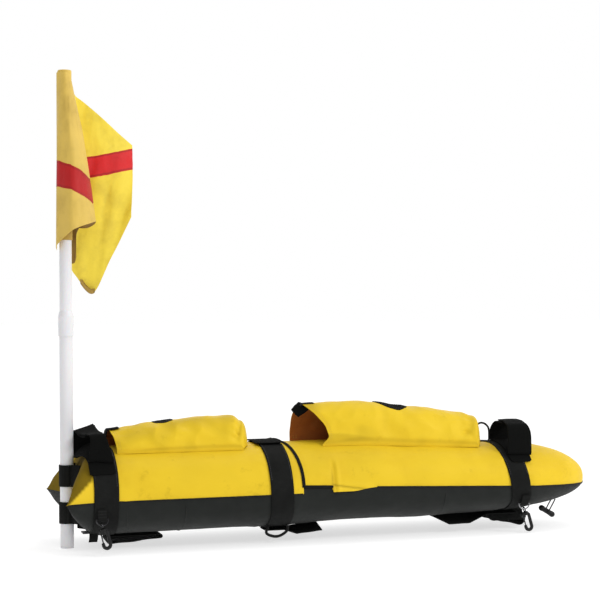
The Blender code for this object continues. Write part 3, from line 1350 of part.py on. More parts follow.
def main():
    clear_scene()
    parts = new_collection("dive flag float")
    cutters = new_collection("cutters")
    build_covers(parts)
    build_bladder(parts)
    build_binding(parts)
    build_hull_straps(parts)
    build_middle_flap(parts)
    build_sliders(parts, cutters)
    for which in ("rear", "front"):
        build_pocket(which, parts)
        build_mouth_tab(which, parts)
    build_gun_straps(parts)
    build_belly_loop("front_belly_loop", FRONT_BELLY_LOOP_START, FRONT_BELLY_LOOP_END,
                     FRONT_BELLY_LOOP_BOTTOM, FRONT_STRAP_X, WEBBING_THICKNESS + SEAT, FRONT_BELLY_LOOP_TILT, -1, parts)
    build_belly_loop("rear_belly_loop", REAR_BELLY_LOOP_START, REAR_BELLY_LOOP_END,
                     REAR_BELLY_LOOP_BOTTOM, REAR_STRAP_X, 0.0, REAR_BELLY_LOOP_TILT, 1, parts)
    build_strap_tail("middle_strap_tail", MIDDLE_STRAP_X, 1, WEBBING_WIDTH / 2, MIDDLE_TAIL_LENGTH,
                     MIDDLE_TAIL_DROP, parts)
    build_strap_tail("front_strap_tail", FRONT_STRAP_X, -1, FRONT_STRAP_X - FRONT_BELLY_LOOP_START,
                     FRONT_TAIL_LENGTH, FRONT_TAIL_DROP, parts)
    build_lift_loop(parts)
    build_pole(parts)
    build_pole_loops(parts)
    build_flag(parts)
    build_valve(parts)
    build_hardware(parts, cutters)
    build_stringer(parts)
    build_nose_toggle(parts, cutters)


main()
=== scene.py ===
"""Studio view of an inflatable dive float with a flag on a two-piece pole.

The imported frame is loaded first. Cloth, webbing, pockets, flag and cords are
made here at full detail and stand for the plain solids; tubes, buckles, hooks
and rings keep their own shapes and get finished materials.
"""
import math

import bmesh
import bpy
from mathutils import Matrix, Vector, noise


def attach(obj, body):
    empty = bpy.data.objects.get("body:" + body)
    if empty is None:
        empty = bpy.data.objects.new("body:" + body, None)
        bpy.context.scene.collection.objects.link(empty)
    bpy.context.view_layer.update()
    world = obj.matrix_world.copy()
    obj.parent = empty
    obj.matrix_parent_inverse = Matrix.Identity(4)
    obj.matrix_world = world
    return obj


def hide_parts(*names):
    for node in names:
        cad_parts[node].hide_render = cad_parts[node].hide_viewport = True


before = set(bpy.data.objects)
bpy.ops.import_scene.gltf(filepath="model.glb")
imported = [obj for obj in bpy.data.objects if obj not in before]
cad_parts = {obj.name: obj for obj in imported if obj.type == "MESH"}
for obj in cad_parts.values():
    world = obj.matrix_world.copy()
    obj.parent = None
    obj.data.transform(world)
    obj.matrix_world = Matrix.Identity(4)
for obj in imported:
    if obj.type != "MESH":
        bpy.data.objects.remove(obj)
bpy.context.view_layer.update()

CREASE_DEGREES = 50
MERGE_DISTANCE = 0.00001


def nothing_selected():
    for item in bpy.context.selected_objects:
        item.select_set(False)


def work_on(piece):
    nothing_selected()
    piece.select_set(True)
    bpy.context.view_layer.objects.active = piece


def new_object(name, data):
    """Object that holds the data, linked into the scene."""
    thing = bpy.data.objects.new(name, data)
    bpy.context.scene.collection.objects.link(thing)
    return thing


def apply_step(piece, kind, **settings):
    """Add one modifier with its settings and apply it."""
    work_on(piece)
    step = piece.modifiers.new(kind.lower(), kind)
    for key, value in settings.items():
        setattr(step, key, value)
    bpy.ops.object.modifier_apply(modifier=step.name)


def round_edges(piece, width):
    apply_step(piece, "BEVEL", width=width, segments=2, limit_method="ANGLE",
               angle_limit=math.radians(CREASE_DEGREES))


def smooth_over(piece):
    work_on(piece)
    bpy.ops.object.shade_smooth_by_angle(angle=math.radians(CREASE_DEGREES))


def clamp(value):
    return max(0.0, min(1.0, value))


def ease(value):
    value = clamp(value)
    return value * value * (3.0 - 2.0 * value)


def hump(distance, width):
    return math.exp(-(distance / width) ** 2)


# Camera at the photograph's viewing angle, and soft studio light.

CAMERA_TURN = math.radians(16.5)
CAMERA_DIP = math.radians(0.3)
CAMERA_ROLL = math.radians(-0.39)
CAMERA_DISTANCE = 2.98
CAMERA_AIM = Vector((-0.06, 0.0, 0.458))
CAMERA_LENS = 92.04
CAMERA_SENSOR = 36.0
CAMERA_REACH = 50.0

# Place of each light, what it is aimed at, its size in metres and its power in watts.
STUDIO_LIGHTS = {
    "key_light": ((2.1, -2.0, 1.7), (0.0, 0.0, 0.25), 0.5, 26.0),
    "top_light": ((0.5, 0.0, 3.0), (0.0, 0.0, 0.2), 0.9, 8.0),
}
AIR_STRENGTH_LEFT = 0.40
AIR_STRENGTH_RIGHT = 1.0
FLOOR_SIZE = 80.0
FLOOR_GREY = 0.55
FLOOR_GLOW = 0.62
FLOOR_ROUGHNESS = 0.9
WHITE = (1.0, 1.0, 1.0, 1.0)


def set_camera():
    ahead = Vector((math.cos(CAMERA_DIP) * math.sin(CAMERA_TURN),
                    math.cos(CAMERA_DIP) * math.cos(CAMERA_TURN), math.sin(CAMERA_DIP)))
    level = Vector((math.cos(CAMERA_TURN), -math.sin(CAMERA_TURN), 0.0))
    above = level.cross(ahead)
    right = level * math.cos(CAMERA_ROLL) + above * math.sin(CAMERA_ROLL)
    top = right.cross(ahead)
    data = bpy.data.cameras.new("studio_camera")
    data.sensor_width = CAMERA_SENSOR
    data.lens = CAMERA_LENS
    data.clip_end = CAMERA_REACH
    camera = new_object("studio_camera", data)
    turn = Matrix((right, top, -ahead)).transposed().to_4x4()
    camera.matrix_world = Matrix.Translation(CAMERA_AIM - ahead * CAMERA_DISTANCE) @ turn
    bpy.context.scene.camera = camera


def add_light(name, place, aim, size, power):
    data = bpy.data.lights.new(name, "AREA")
    data.shape = "DISK"
    data.size = size
    data.energy = power
    turn = (Vector(aim) - Vector(place)).to_track_quat("-Z", "Y").to_matrix().to_4x4()
    new_object(name, data).matrix_world = Matrix.Translation(place) @ turn


def set_air():
    """White light from all round, weaker from the left."""
    world = bpy.data.worlds.new("studio_air")
    bpy.context.scene.world = world
    world.use_nodes = True
    tree = world.node_tree
    air = tree.nodes["Background"]
    air.inputs["Color"].default_value = WHITE
    place = tree.nodes.new("ShaderNodeTexCoord")
    split = tree.nodes.new("ShaderNodeSeparateXYZ")
    fall = tree.nodes.new("ShaderNodeMapRange")
    for name, value in (("From Min", -1.0), ("From Max", 0.0),
                        ("To Min", AIR_STRENGTH_LEFT), ("To Max", AIR_STRENGTH_RIGHT)):
        fall.inputs[name].default_value = value
    tree.links.new(place.outputs["Generated"], split.inputs["Vector"])
    tree.links.new(split.outputs["X"], fall.inputs["Value"])
    tree.links.new(fall.outputs["Result"], air.inputs["Strength"])


def set_light():
    set_air()
    for name, (place, aim, size, power) in STUDIO_LIGHTS.items():
        add_light(name, place, aim, size, power)
    bpy.context.scene.view_settings.view_transform = "Standard"


def set_floor():
    nothing_selected()
    bpy.ops.mesh.primitive_plane_add(size=FLOOR_SIZE, location=(0.0, 0.0, 0.0))
    floor = bpy.context.object
    floor.name = "studio_floor"
    look = bpy.data.materials.new("pale floor")
    look.use_nodes = True
    shader = look.node_tree.nodes["Principled BSDF"]
    shader.inputs["Base Color"].default_value = (FLOOR_GREY, FLOOR_GREY, FLOOR_GREY, 1.0)
    shader.inputs["Roughness"].default_value = FLOOR_ROUGHNESS
    shader.inputs["Specular IOR Level"].default_value = 0.0
    shader.inputs["Emission Color"].default_value = WHITE
    shader.inputs["Emission Strength"].default_value = FLOOR_GLOW
    floor.data.materials.append(look)


set_camera()
set_light()
set_floor()

# Colours, as shares of red, green and blue light.

YELLOW = (0.75, 0.515, 0.020)
YELLOW_DARK = (0.66, 0.43, 0.014)
FLAG_YELLOW = (0.80, 0.615, 0.050)
# Painted shade: the flag's ochre for the near flap, which faces away from the key light.
FLAG_PAINTED_SHADE = (0.66, 0.455, 0.090)
# Painted deep shade: turned-over cloth, the insides of the hem and the curl, and the sleeve's hem.
FLAG_PAINTED_DEEP_SHADE = (0.24, 0.135, 0.024)
RED = (0.60, 0.010, 0.012)
# Painted shade of the red stripe on the near flap.
RED_PAINTED_SHADE = (0.44, 0.007, 0.008)
CHARCOAL = (0.0130, 0.0150, 0.0132)
CHARCOAL_DARK = (0.0074, 0.0088, 0.0078)
# Painted shade: brown for the shade inside the pockets, on their inner faces.
POCKET_INSIDE_SHADE = (0.43, 0.140, 0.034)
POCKET_INSIDE_SHADE_DARK = (0.29, 0.092, 0.020)
EDGING_BLACK = (0.007, 0.007, 0.006)
EDGING_BLACK_DARK = (0.004, 0.004, 0.004)
WEBBING_BLACKS = ((0.0030, 0.0032, 0.0030), (0.0080, 0.0085, 0.0078), (0.018, 0.019, 0.018))
PILE_BLACKS = ((0.0015, 0.0016, 0.0015), (0.0060, 0.0064, 0.0058))
TUBE_WHITES = ((0.69, 0.682, 0.70), (0.75, 0.742, 0.762))
PLASTIC_BLACKS = ((0.0045, 0.0045, 0.0048), (0.0095, 0.0095, 0.010))
FILM_GREYS = ((0.035, 0.035, 0.04), (0.06, 0.06, 0.065))
BRAID_BLACKS = ((0.003, 0.003, 0.003), (0.014, 0.014, 0.014))
RING_METAL_GREYS = ((0.14, 0.14, 0.145), (0.42, 0.42, 0.43))
DARK_METAL_GREYS = ((0.020, 0.020, 0.021), (0.050, 0.050, 0.052))
YELLOW_THREAD = (0.75, 0.50, 0.05)
GREY_THREAD = (0.10, 0.10, 0.105)
FLAG_STAINS = ((0.84, 0.82, 0.80), (1.0, 1.0, 1.0), (1.06, 1.06, 1.04))

# Materials. Each reads the piece's own UV map, which is in metres along and
# across the cloth, or Object coordinates on pieces that have no such map.

# Width of one band of the Wave node at a scale of 1, in metres.
WAVE_BAND = 0.314


def shade(color, share):
    return tuple(channel * share for channel in color)


class Finish:
    """A material and short ways to add the nodes that it needs."""

    def __init__(self, name):
        self.material = bpy.data.materials.new(name)
        self.material.use_nodes = True
        self.tree = self.material.node_tree
        self.shader = self.tree.nodes["Principled BSDF"]
        self.place = self.tree.nodes.new("ShaderNodeTexCoord")

    def feed(self, socket, value):
        """Give a socket a number, or link it to another node's output."""
        if isinstance(value, (int, float)):
            socket.default_value = value
        else:
            self.tree.links.new(value, socket)

    def plug(self, output, name):
        self.tree.links.new(output, self.shader.inputs[name])

    def fix(self, **sockets):
        for name, value in sockets.items():
            self.shader.inputs[name.replace("_", " ")].default_value = value

    def math(self, operation, first, second):
        node = self.tree.nodes.new("ShaderNodeMath")
        node.operation = operation
        self.feed(node.inputs[0], first)
        self.feed(node.inputs[1], second)
        return node.outputs[0]

    def noise(self, scale, detail=3.0, rough=0.5):
        node = self.tree.nodes.new("ShaderNodeTexNoise")
        node.inputs["Scale"].default_value = scale
        node.inputs["Detail"].default_value = detail
        node.inputs["Roughness"].default_value = rough
        self.tree.links.new(self.place.outputs["Object"], node.inputs["Vector"])
        return node.outputs["Fac"]

    def bands(self, pitch, direction, source="UV", bend=0.0):
        node = self.tree.nodes.new("ShaderNodeTexWave")
        node.bands_direction = direction
        node.inputs["Scale"].default_value = WAVE_BAND / pitch
        node.inputs["Distortion"].default_value = bend
        node.inputs["Detail"].default_value = 0.0
        self.tree.links.new(self.place.outputs[source], node.inputs["Vector"])
        return node.outputs["Fac"]

    def weave(self, pitch):
        """Grid of threads along and across the cloth."""
        return self.math("MULTIPLY", self.bands(pitch, "X"), self.bands(pitch, "Y"))

    def ramp(self, value, stops):
        node = self.tree.nodes.new("ShaderNodeValToRGB")
        band = node.color_ramp
        while len(band.elements) < len(stops):
            band.elements.new(0.5)
        for element, (position, color) in zip(band.elements, stops):
            element.position = position
            element.color = (*color, 1.0)
        self.tree.links.new(value, node.inputs["Fac"])
        return node.outputs["Color"]

    def tint(self, value, positions, colors):
        """Base colour that runs through the colours at the positions of the value."""
        self.plug(self.ramp(value, tuple(zip(positions, colors))), "Base Color")

    def attribute(self, name):
        node = self.tree.nodes.new("ShaderNodeAttribute")
        node.attribute_name = name
        return node.outputs["Fac"]

    def mix(self, share, first, second, blend="MIX"):
        node = self.tree.nodes.new("ShaderNodeMix")
        node.data_type = "RGBA"
        node.blend_type = blend
        self.feed(node.inputs["Factor"], share)
        self.tree.links.new(first, node.inputs["A"])
        self.tree.links.new(second, node.inputs["B"])
        return node.outputs["Result"]

    def spread(self, value, low, high):
        node = self.tree.nodes.new("ShaderNodeMapRange")
        node.inputs["To Min"].default_value = low
        node.inputs["To Max"].default_value = high
        self.tree.links.new(value, node.inputs["Value"])
        return node.outputs["Result"]

    def raise_by(self, height, depth, below=None):
        node = self.tree.nodes.new("ShaderNodeBump")
        node.inputs["Strength"].default_value = 1.0
        node.inputs["Distance"].default_value = depth
        self.tree.links.new(height, node.inputs["Height"])
        if below is not None:
            self.tree.links.new(below, node.inputs["Normal"])
        return node.outputs["Normal"]


def coated_cloth(name, color, dark, gloss=0.42):
    """Woven cloth under a thin coat: faint grid, soft creases, slight staining, painted shade by tone."""
    look = Finish(name)
    patches = look.noise(scale=9.0, detail=4.0, rough=0.6)
    rubs = look.noise(scale=31.0, detail=5.0, rough=0.7)
    broad = look.ramp(patches, ((0.34, dark), (0.50, color), (1.0, shade(color, 1.05))))
    rubbed = look.ramp(rubs, ((0.26, shade(dark, 0.80)), (0.40, color), (1.0, color)))
    # Painted shade: the tone attribute mixes in this dark olive where shade falls, and faintly for random
    # stains.
    painted_shade_and_stain = look.ramp(patches, ((0.0, shade(dark, 0.18)), (1.0, shade(dark, 0.26))))
    tone = look.attribute("tone")
    look.plug(look.mix(tone, look.mix(0.5, broad, rubbed), painted_shade_and_stain), "Base Color")
    polish = look.spread(look.noise(scale=45.0), low=gloss - 0.08, high=gloss + 0.14)
    look.plug(look.math("ADD", polish, look.math("MULTIPLY", tone, 0.42)), "Roughness")
    grid = look.raise_by(look.weave(pitch=0.0007), depth=0.00006)
    creases = look.noise(scale=26.0, detail=5.0, rough=0.62)
    look.plug(look.raise_by(creases, depth=0.0006, below=grid), "Normal")
    look.fix(Specular_IOR_Level=0.12)
    return look.material


def flag_look(name, bright, near_flap_shade, deep_shade):
    """Thin flag cloth: bright in the light, in painted shade on the near flap and turned edges."""
    look = Finish(name)
    patches = look.noise(scale=20.0, detail=4.0, rough=0.6)
    base = look.ramp(look.attribute("tone"), ((0.0, bright), (0.5, near_flap_shade), (1.0, deep_shade)))
    stain = look.ramp(patches, tuple(zip((0.30, 0.50, 0.72), FLAG_STAINS)))
    look.plug(look.mix(1.0, base, stain, "MULTIPLY"), "Base Color")
    look.plug(look.spread(look.noise(scale=60.0), low=0.42, high=0.62), "Roughness")
    grid = look.raise_by(look.weave(pitch=0.0005), depth=0.00005)
    creases = look.noise(scale=34.0, detail=5.0, rough=0.62)
    look.plug(look.raise_by(creases, depth=0.0007, below=grid), "Normal")
    look.fix(Sheen_Weight=0.05, Sheen_Roughness=0.4, Specular_IOR_Level=0.3)
    return look.material


def plain_nylon(name, color, dark):
    look = Finish(name)
    patches = look.noise(scale=14.0, detail=5.0, rough=0.65)
    threads = look.weave(pitch=0.0009)
    value = look.math("ADD", look.math("MULTIPLY", patches, 0.75), look.math("MULTIPLY", threads, 0.25))
    look.tint(value, (0.25, 0.65, 1.0), (dark, color, shade(color, 1.5)))
    look.plug(look.spread(look.noise(scale=60.0, detail=2.0), low=0.58, high=0.82), "Roughness")
    grid = look.raise_by(threads, depth=0.00016)
    creases = look.noise(scale=22.0, detail=5.0, rough=0.6)
    look.plug(look.raise_by(creases, depth=0.0010, below=grid), "Normal")
    look.fix(Sheen_Weight=0.05, Sheen_Roughness=0.5, Specular_IOR_Level=0.18)
    return look.material


def webbing_look(name, source):
    """Woven strap: ribs across, fine yarns along, worn lighter on the ribs."""
    look = Finish(name)
    ribs = look.bands(0.0021, "X", source, bend=0.6)
    yarns = look.bands(0.0008, "Y", source)
    cloth = look.math("MULTIPLY", look.math("ADD", ribs, 0.35), look.math("ADD", yarns, 0.5))
    wear = look.math("MULTIPLY", cloth, look.noise(scale=30.0, detail=4.0))
    look.tint(wear, (0.0, 0.6, 1.0), WEBBING_BLACKS)
    look.plug(look.spread(look.noise(scale=80.0, detail=2.0), low=0.62, high=0.85), "Roughness")
    look.plug(look.raise_by(cloth, depth=0.00030), "Normal")
    look.fix(Specular_IOR_Level=0.12)
    return look.material


def loop_pile_look():
    """Fuzzy side of hook-and-loop tape."""
    look = Finish("loop pile tape")
    fuzz = look.noise(scale=900.0, detail=4.0, rough=0.7)
    look.tint(fuzz, (0.3, 0.75), PILE_BLACKS)
    look.plug(look.spread(fuzz, low=0.8, high=1.0), "Roughness")
    look.plug(look.raise_by(fuzz, depth=0.0007), "Normal")
    look.fix(Specular_IOR_Level=0.07)
    return look.material


def tube_look():
    look = Finish("white tube plastic")
    specks = look.noise(scale=120.0)
    look.tint(look.noise(scale=7.0, detail=4.0), (0.3, 0.7), TUBE_WHITES)
    look.plug(look.spread(specks, low=0.26, high=0.40), "Roughness")
    look.plug(look.raise_by(specks, depth=0.00004), "Normal")
    look.fix(Subsurface_Weight=0.08, Subsurface_Scale=0.004, Specular_IOR_Level=0.5)
    return look.material


def moulded_plastic():
    look = Finish("moulded black plastic")
    grain = look.noise(scale=1500.0, detail=2.0)
    look.tint(look.noise(scale=70.0), (0.3, 0.8), PLASTIC_BLACKS)
    look.plug(look.spread(look.noise(scale=160.0), low=0.34, high=0.52), "Roughness")
    look.plug(look.raise_by(grain, depth=0.00005), "Normal")
    look.fix(Specular_IOR_Level=0.22)
    return look.material


def plated_metal(name, greys):
    look = Finish(name)
    scratches = look.noise(scale=260.0, detail=5.0, rough=0.7)
    look.tint(scratches, (0.3, 0.8), greys)
    look.plug(look.spread(scratches, low=0.18, high=0.38), "Roughness")
    look.fix(Metallic=1.0)
    return look.material


def film_look():
    look = Finish("bladder film skin")
    look.tint(look.noise(scale=30.0), (0.3, 0.8), FILM_GREYS)
    look.plug(look.spread(look.noise(scale=50.0), low=0.4, high=0.6), "Roughness")
    return look.material


def thread_look(name, color):
    look = Finish(name)
    twist = look.noise(scale=1200.0, detail=2.0)
    look.tint(twist, (0.3, 0.8), (shade(color, 0.6), color))
    look.fix(Roughness=0.7)
    return look.material


def braid_look():
    """Cord cover: crossed yarns that wind round the cord."""
    look = Finish("braided cord cover")
    yarn = look.math("MULTIPLY", look.bands(0.0022, "DIAGONAL", "Object"), look.bands(0.0016, "X", "Object"))
    look.tint(yarn, (0.0, 1.0), BRAID_BLACKS)
    look.fix(Roughness=0.75, Sheen_Weight=0.05, Specular_IOR_Level=0.15)
    look.plug(look.raise_by(yarn, depth=0.0004), "Normal")
    return look.material


yellow_cloth = coated_cloth("yellow coated cloth", YELLOW, YELLOW_DARK)
# Painted shade on the pockets' inner faces.
pocket_inside_shade = coated_cloth("brown pocket inside painted shade", POCKET_INSIDE_SHADE, POCKET_INSIDE_SHADE_DARK, gloss=0.6)
flag_cloth_look = flag_look("yellow flag cloth", FLAG_YELLOW, FLAG_PAINTED_SHADE, FLAG_PAINTED_DEEP_SHADE)
red_cloth = flag_look("red stripe cloth", RED, RED_PAINTED_SHADE, shade(RED_PAINTED_SHADE, 0.6))
# Painted shade: the sleeve round the pole takes the shaded ochre throughout.
sleeve_painted_shade = flag_look("yellow sleeve cloth painted shade", FLAG_PAINTED_SHADE, FLAG_PAINTED_SHADE, FLAG_PAINTED_DEEP_SHADE)
grey_nylon = plain_nylon("charcoal nylon", CHARCOAL, CHARCOAL_DARK)
seam_look = plain_nylon("black seam edging", EDGING_BLACK, EDGING_BLACK_DARK)
webbing = webbing_look("black webbing weave", "UV")
object_webbing = webbing_look("black webbing weave on small pieces", "Object")
pile = loop_pile_look()
tube_plastic = tube_look()
black_plastic = moulded_plastic()
ring_metal = plated_metal("plated ring metal", RING_METAL_GREYS)
dark_metal = plated_metal("blackened metal", DARK_METAL_GREYS)
film = film_look()
cord_cover = braid_look()
yellow_thread = thread_look("yellow thread", YELLOW_THREAD)
grey_thread = thread_look("grey thread", GREY_THREAD)

# Form of the hull, repeated from the part's source, in metres.

SEAT = 0.0004
STRAP_SEAT = 0.0008
SEAM_GAP = 0.0005
WEBBING_WIDTH = 0.040
WEBBING_THICKNESS = 0.0020
NARROW_WEBBING_WIDTH = 0.016
NARROW_WEBBING_THICKNESS = 0.0012
GUN_STRAP_WIDTH = 0.045
GUN_STRAP_THICKNESS = 0.0022
COVER_THICKNESS = 0.0012
POCKET_THICKNESS = 0.0012
HULL_LENGTH = 1.070
HULL_WIDTH = 0.225
SECTION_POWER = 2.5
SEAM_HEIGHT = 0.095
CROWN_HEIGHT = 0.089
KEEL_DEPTH = 0.068
EAR_SPREAD = 0.278
EAR_REACH = 0.040
EAR_CURVE_POWER = 1.6
EAR_LENGTH = 0.100
EAR_FLARE_POWER = 1.5
TAIL_RISE_MIDDLE = 0.045
TAIL_RISE_EAR = 0.070
TAIL_POWER_MIDDLE = 2.5
TAIL_POWER_EAR = 2.2
TAIL_EDGE_REACH = 0.150
NOSE_PLAN_LENGTH = 0.200
NOSE_CROWN_LENGTH = 0.180
NOSE_KEEL_LENGTH = 0.240
TAPER_START_X = 0.050
TAPER_LENGTH = 0.300
TAPER_SHARE = 0.16
BELLY_RISE = 0.095
BELLY_RISE_X = 0.030
BELLY_RISE_REACH = 0.090
TAIL_X = -HULL_LENGTH / 2
NOSE_X = HULL_LENGTH / 2
TAIL_MIDDLE_X = TAIL_X + EAR_REACH
BINDING_X = -0.088
BINDING_BOW = 0.014
BINDING_BOW_REACH = 0.080
BINDING_WIDTH = 0.007
BINDING_THICKNESS = 0.0015
SEAM_LIFT = 0.013
NOSE_SEAM_DROP = 0.010
NOSE_SEAM_DROP_LIMIT = 0.5
REAR_STRAP_X = -0.457
MIDDLE_STRAP_X = -0.133
FRONT_STRAP_X = 0.353


def power_curve(value, power):
    return (1.0 - (1.0 - clamp(value)) ** power) ** (1.0 / power)


def tail_edge(across, inset):
    return TAIL_X + inset + EAR_REACH * (1.0 - abs(across) ** EAR_CURVE_POWER)


def half_width(x, inset=0.0):
    past = clamp((x - (NOSE_X - inset - NOSE_PLAN_LENGTH)) / NOSE_PLAN_LENGTH)
    flare = clamp(1.0 - (x - TAIL_X - inset) / EAR_LENGTH) ** EAR_FLARE_POWER
    width = HULL_WIDTH / 2 - inset + (EAR_SPREAD - HULL_WIDTH) / 2 * flare
    return width * math.sqrt(1.0 - past * past)


def end_share(x, across, nose_length, inset):
    rise = TAIL_RISE_MIDDLE + (TAIL_RISE_EAR - TAIL_RISE_MIDDLE) * across * across
    power = TAIL_POWER_MIDDLE + (TAIL_POWER_EAR - TAIL_POWER_MIDDLE) * across * across
    tail = power_curve((x - tail_edge(across, inset)) / rise, power)
    past = clamp((x - (NOSE_X - inset - nose_length)) / nose_length)
    taper = 1.0 - TAPER_SHARE * clamp((x - TAPER_START_X) / TAPER_LENGTH)
    return tail * taper * math.sqrt(1.0 - past * past)


def belly(x):
    """Share of the keel's depth where the strap draws the underside in."""
    return 1.0 - BELLY_RISE * math.exp(-((x - BELLY_RISE_X) / BELLY_RISE_REACH) ** 2)


def section_shares(angle):
    across = math.copysign(abs(math.cos(angle)) ** (2.0 / SECTION_POWER), math.cos(angle))
    up = math.copysign(abs(math.sin(angle)) ** (2.0 / SECTION_POWER), math.sin(angle))
    return across, up


def hull_point(x, angle, inset=0.0, lift=0.0):
    across, up = section_shares(angle)
    if up >= 0:
        height = up * (CROWN_HEIGHT - inset) * end_share(x, across, NOSE_CROWN_LENGTH, inset)
    else:
        height = up * (KEEL_DEPTH - inset) * end_share(x, across, NOSE_KEEL_LENGTH, inset) * belly(x)
    return Vector((x, across * half_width(x, inset), SEAM_HEIGHT + height + lift))


def section_above(x, y, grow):
    """Share across the section at a place, and the outline's height share there."""
    across = clamp(abs(y) / half_width(x, -grow))
    return across, (1.0 - across ** SECTION_POWER) ** (1.0 / SECTION_POWER)


def hull_top(x, y, grow=0.0):
    across, up = section_above(x, y, grow)
    return SEAM_HEIGHT + up * (CROWN_HEIGHT + grow) * end_share(x, across, NOSE_CROWN_LENGTH, -grow)


def hull_bottom(x, y, grow=0.0):
    across, up = section_above(x, y, grow)
    return SEAM_HEIGHT - up * (KEEL_DEPTH + grow) * end_share(x, across, NOSE_KEEL_LENGTH, -grow) * belly(x)


def seam_angle(x):
    if x < BINDING_X:
        return 0.0
    share = (x - BINDING_X) / (NOSE_X - BINDING_X)
    lift = SEAM_LIFT - (SEAM_LIFT + NOSE_SEAM_DROP) * share
    if lift >= 0:
        return math.asin((lift / CROWN_HEIGHT) ** (SECTION_POWER / 2))
    depth = KEEL_DEPTH * end_share(x, 1.0, NOSE_KEEL_LENGTH, 0.0)
    sunk = min(-lift, depth * NOSE_SEAM_DROP_LIMIT)
    sunk_share = sunk / depth if depth > 0 else NOSE_SEAM_DROP_LIMIT
    return -math.asin(sunk_share ** (SECTION_POWER / 2))


def strap_stack():
    """Height of a strap's outer face over the hull, with the seat of what lies on it."""
    return STRAP_SEAT + WEBBING_THICKNESS + SEAT


def outward(x, angle, near, far):
    """Direction square to the hull's section, from one inset of it to another."""
    return (hull_point(x, angle, far) - hull_point(x, angle, near)).normalized()


# Cloth making. Cut edges have the radius EDGE on webbing and FINE_EDGE on thin cloth.
# ACROSS holds the places of points across a strap, as shares of its half width.

EDGE = 0.0005
FINE_EDGE = 0.0003
ACROSS = (-1.0, -0.82, -0.4, 0.0, 0.4, 0.82, 1.0)


def even_places(start, length, steps):
    return [start + length * i / steps for i in range(steps + 1)]


def lengths_along(points):
    """Length walked along a line of points, at each of them."""
    walked = [0.0]
    for a, b in zip(points, points[1:]):
        walked.append(walked[-1] + (b - a).length)
    return walked


def grid_mesh(name, rows, wrap, tones):
    """Mesh over a grid of points, with its UV map in metres and a tone for each point."""
    across = len(rows[0])
    middle_row = rows[len(rows) // 2]
    along_u = lengths_along(middle_row + middle_row[:1])
    along_v = lengths_along([row[across // 2] for row in rows])
    shape = bmesh.new()
    layer = shape.loops.layers.uv.new("cloth")
    index = shape.verts.layers.float.new("row_index")
    tone = shape.verts.layers.float.new("tone")
    verts = [[shape.verts.new(point) for point in row] for row in rows]
    for i, row in enumerate(verts):
        for j, vert in enumerate(row):
            vert[index] = i
            vert[tone] = tones[i][j] if tones else 0.0
    for i in range(len(rows) - 1):
        for j in range(across if wrap else across - 1):
            k = (j + 1) % across
            face = shape.faces.new((verts[i][j], verts[i][k], verts[i + 1][k], verts[i + 1][j]))
            corners = ((j, i), (j + 1, i), (j + 1, i + 1), (j, i + 1))
            for loop, (u, v) in zip(face.loops, corners):
                loop[layer].uv = (along_u[u], along_v[v])
    bmesh.ops.remove_doubles(shape, verts=shape.verts, dist=MERGE_DISTANCE)
    bmesh.ops.dissolve_degenerate(shape, edges=shape.edges, dist=MERGE_DISTANCE)
    mesh = bpy.data.meshes.new(name)
    shape.to_mesh(mesh)
    shape.free()
    return mesh


def cloth(name, rows, thickness, looks, wrap=False, side=1.0, edge=0.0, parted=False, tones=None):
    """A piece of cloth or webbing over a grid of points.

    side is 1 for a wall that grows the way the grid's faces look, -1 the other
    way and 0 both ways. edge rounds the cut edges. parted gives the inner face
    the second look. tones holds a share for each point, for a look that darkens
    with it.
    """
    mesh = grid_mesh(name, rows, wrap, tones)
    for look in looks:
        mesh.materials.append(look)
    piece = new_object(name, mesh)
    if thickness:
        settings = dict(thickness=thickness, offset=side, use_even_offset=True)
        if parted:
            settings.update(material_offset=1, material_offset_rim=0)
        apply_step(piece, "SOLIDIFY", **settings)
    if edge:
        round_edges(piece, edge)
    smooth_over(piece)
    return piece


def settle(piece, body, slot, *nodes):
    """Give a piece its body and hide the nodes that it stands for. slot is not used."""
    if nodes:
        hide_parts(*nodes)
    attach(piece, body)


def strap_piece(name, rows, thickness, look, *nodes, **settings):
    """Black webbing or tape that rides on the hull."""
    piece = cloth(name, rows, thickness, [look], **settings)
    settle(piece, "hull", "black webbing", *nodes)


def curve_point(a, b, c, d, t):
    """Point at share t between b and c of a smooth line through the four."""
    return ((b * 2) + (c - a) * t + (a * 2 - b * 5 + c * 4 - d) * t ** 2
            + (b * 3 - a - c * 3 + d) * t ** 3) / 2


def smooth_route(points, spacing):
    padded = [points[0] * 2 - points[1], *points, points[-1] * 2 - points[-2]]
    route = []
    for a, b, c, d in zip(padded, padded[1:], padded[2:], padded[3:]):
        steps = max(1, round((c - b).length / spacing))
        route += [curve_point(a, b, c, d, i / steps) for i in range(steps)]
    route.append(points[-1])
    return route


def arc(centre_a, centre_b, radius, start, end, steps):
    pairs = []
    for i in range(steps + 1):
        angle = math.radians(start + (end - start) * i / steps)
        pairs.append((centre_a + radius * math.cos(angle), centre_b + radius * math.sin(angle)))
    return pairs


# Stitches.

STITCH_LENGTH = 0.0030
STITCH_WIDTH = 0.0007
STITCH_HEIGHT = 0.0005
STITCH_PITCH = 0.0042
STITCH_LIFT = 0.0001


def one_stitch():
    """A single short stitch, lying along X, made once and copied."""
    nothing_selected()
    bpy.ops.mesh.primitive_uv_sphere_add(segments=6, ring_count=4, radius=0.5)
    stitch = bpy.context.object
    for vert in stitch.data.vertices:
        vert.co = Vector((vert.co.z * STITCH_LENGTH, vert.co.x * STITCH_WIDTH, vert.co.y * STITCH_HEIGHT))
    mesh = stitch.data.copy()
    bpy.data.objects.remove(stitch, do_unlink=True)
    return mesh


STITCH = one_stitch()


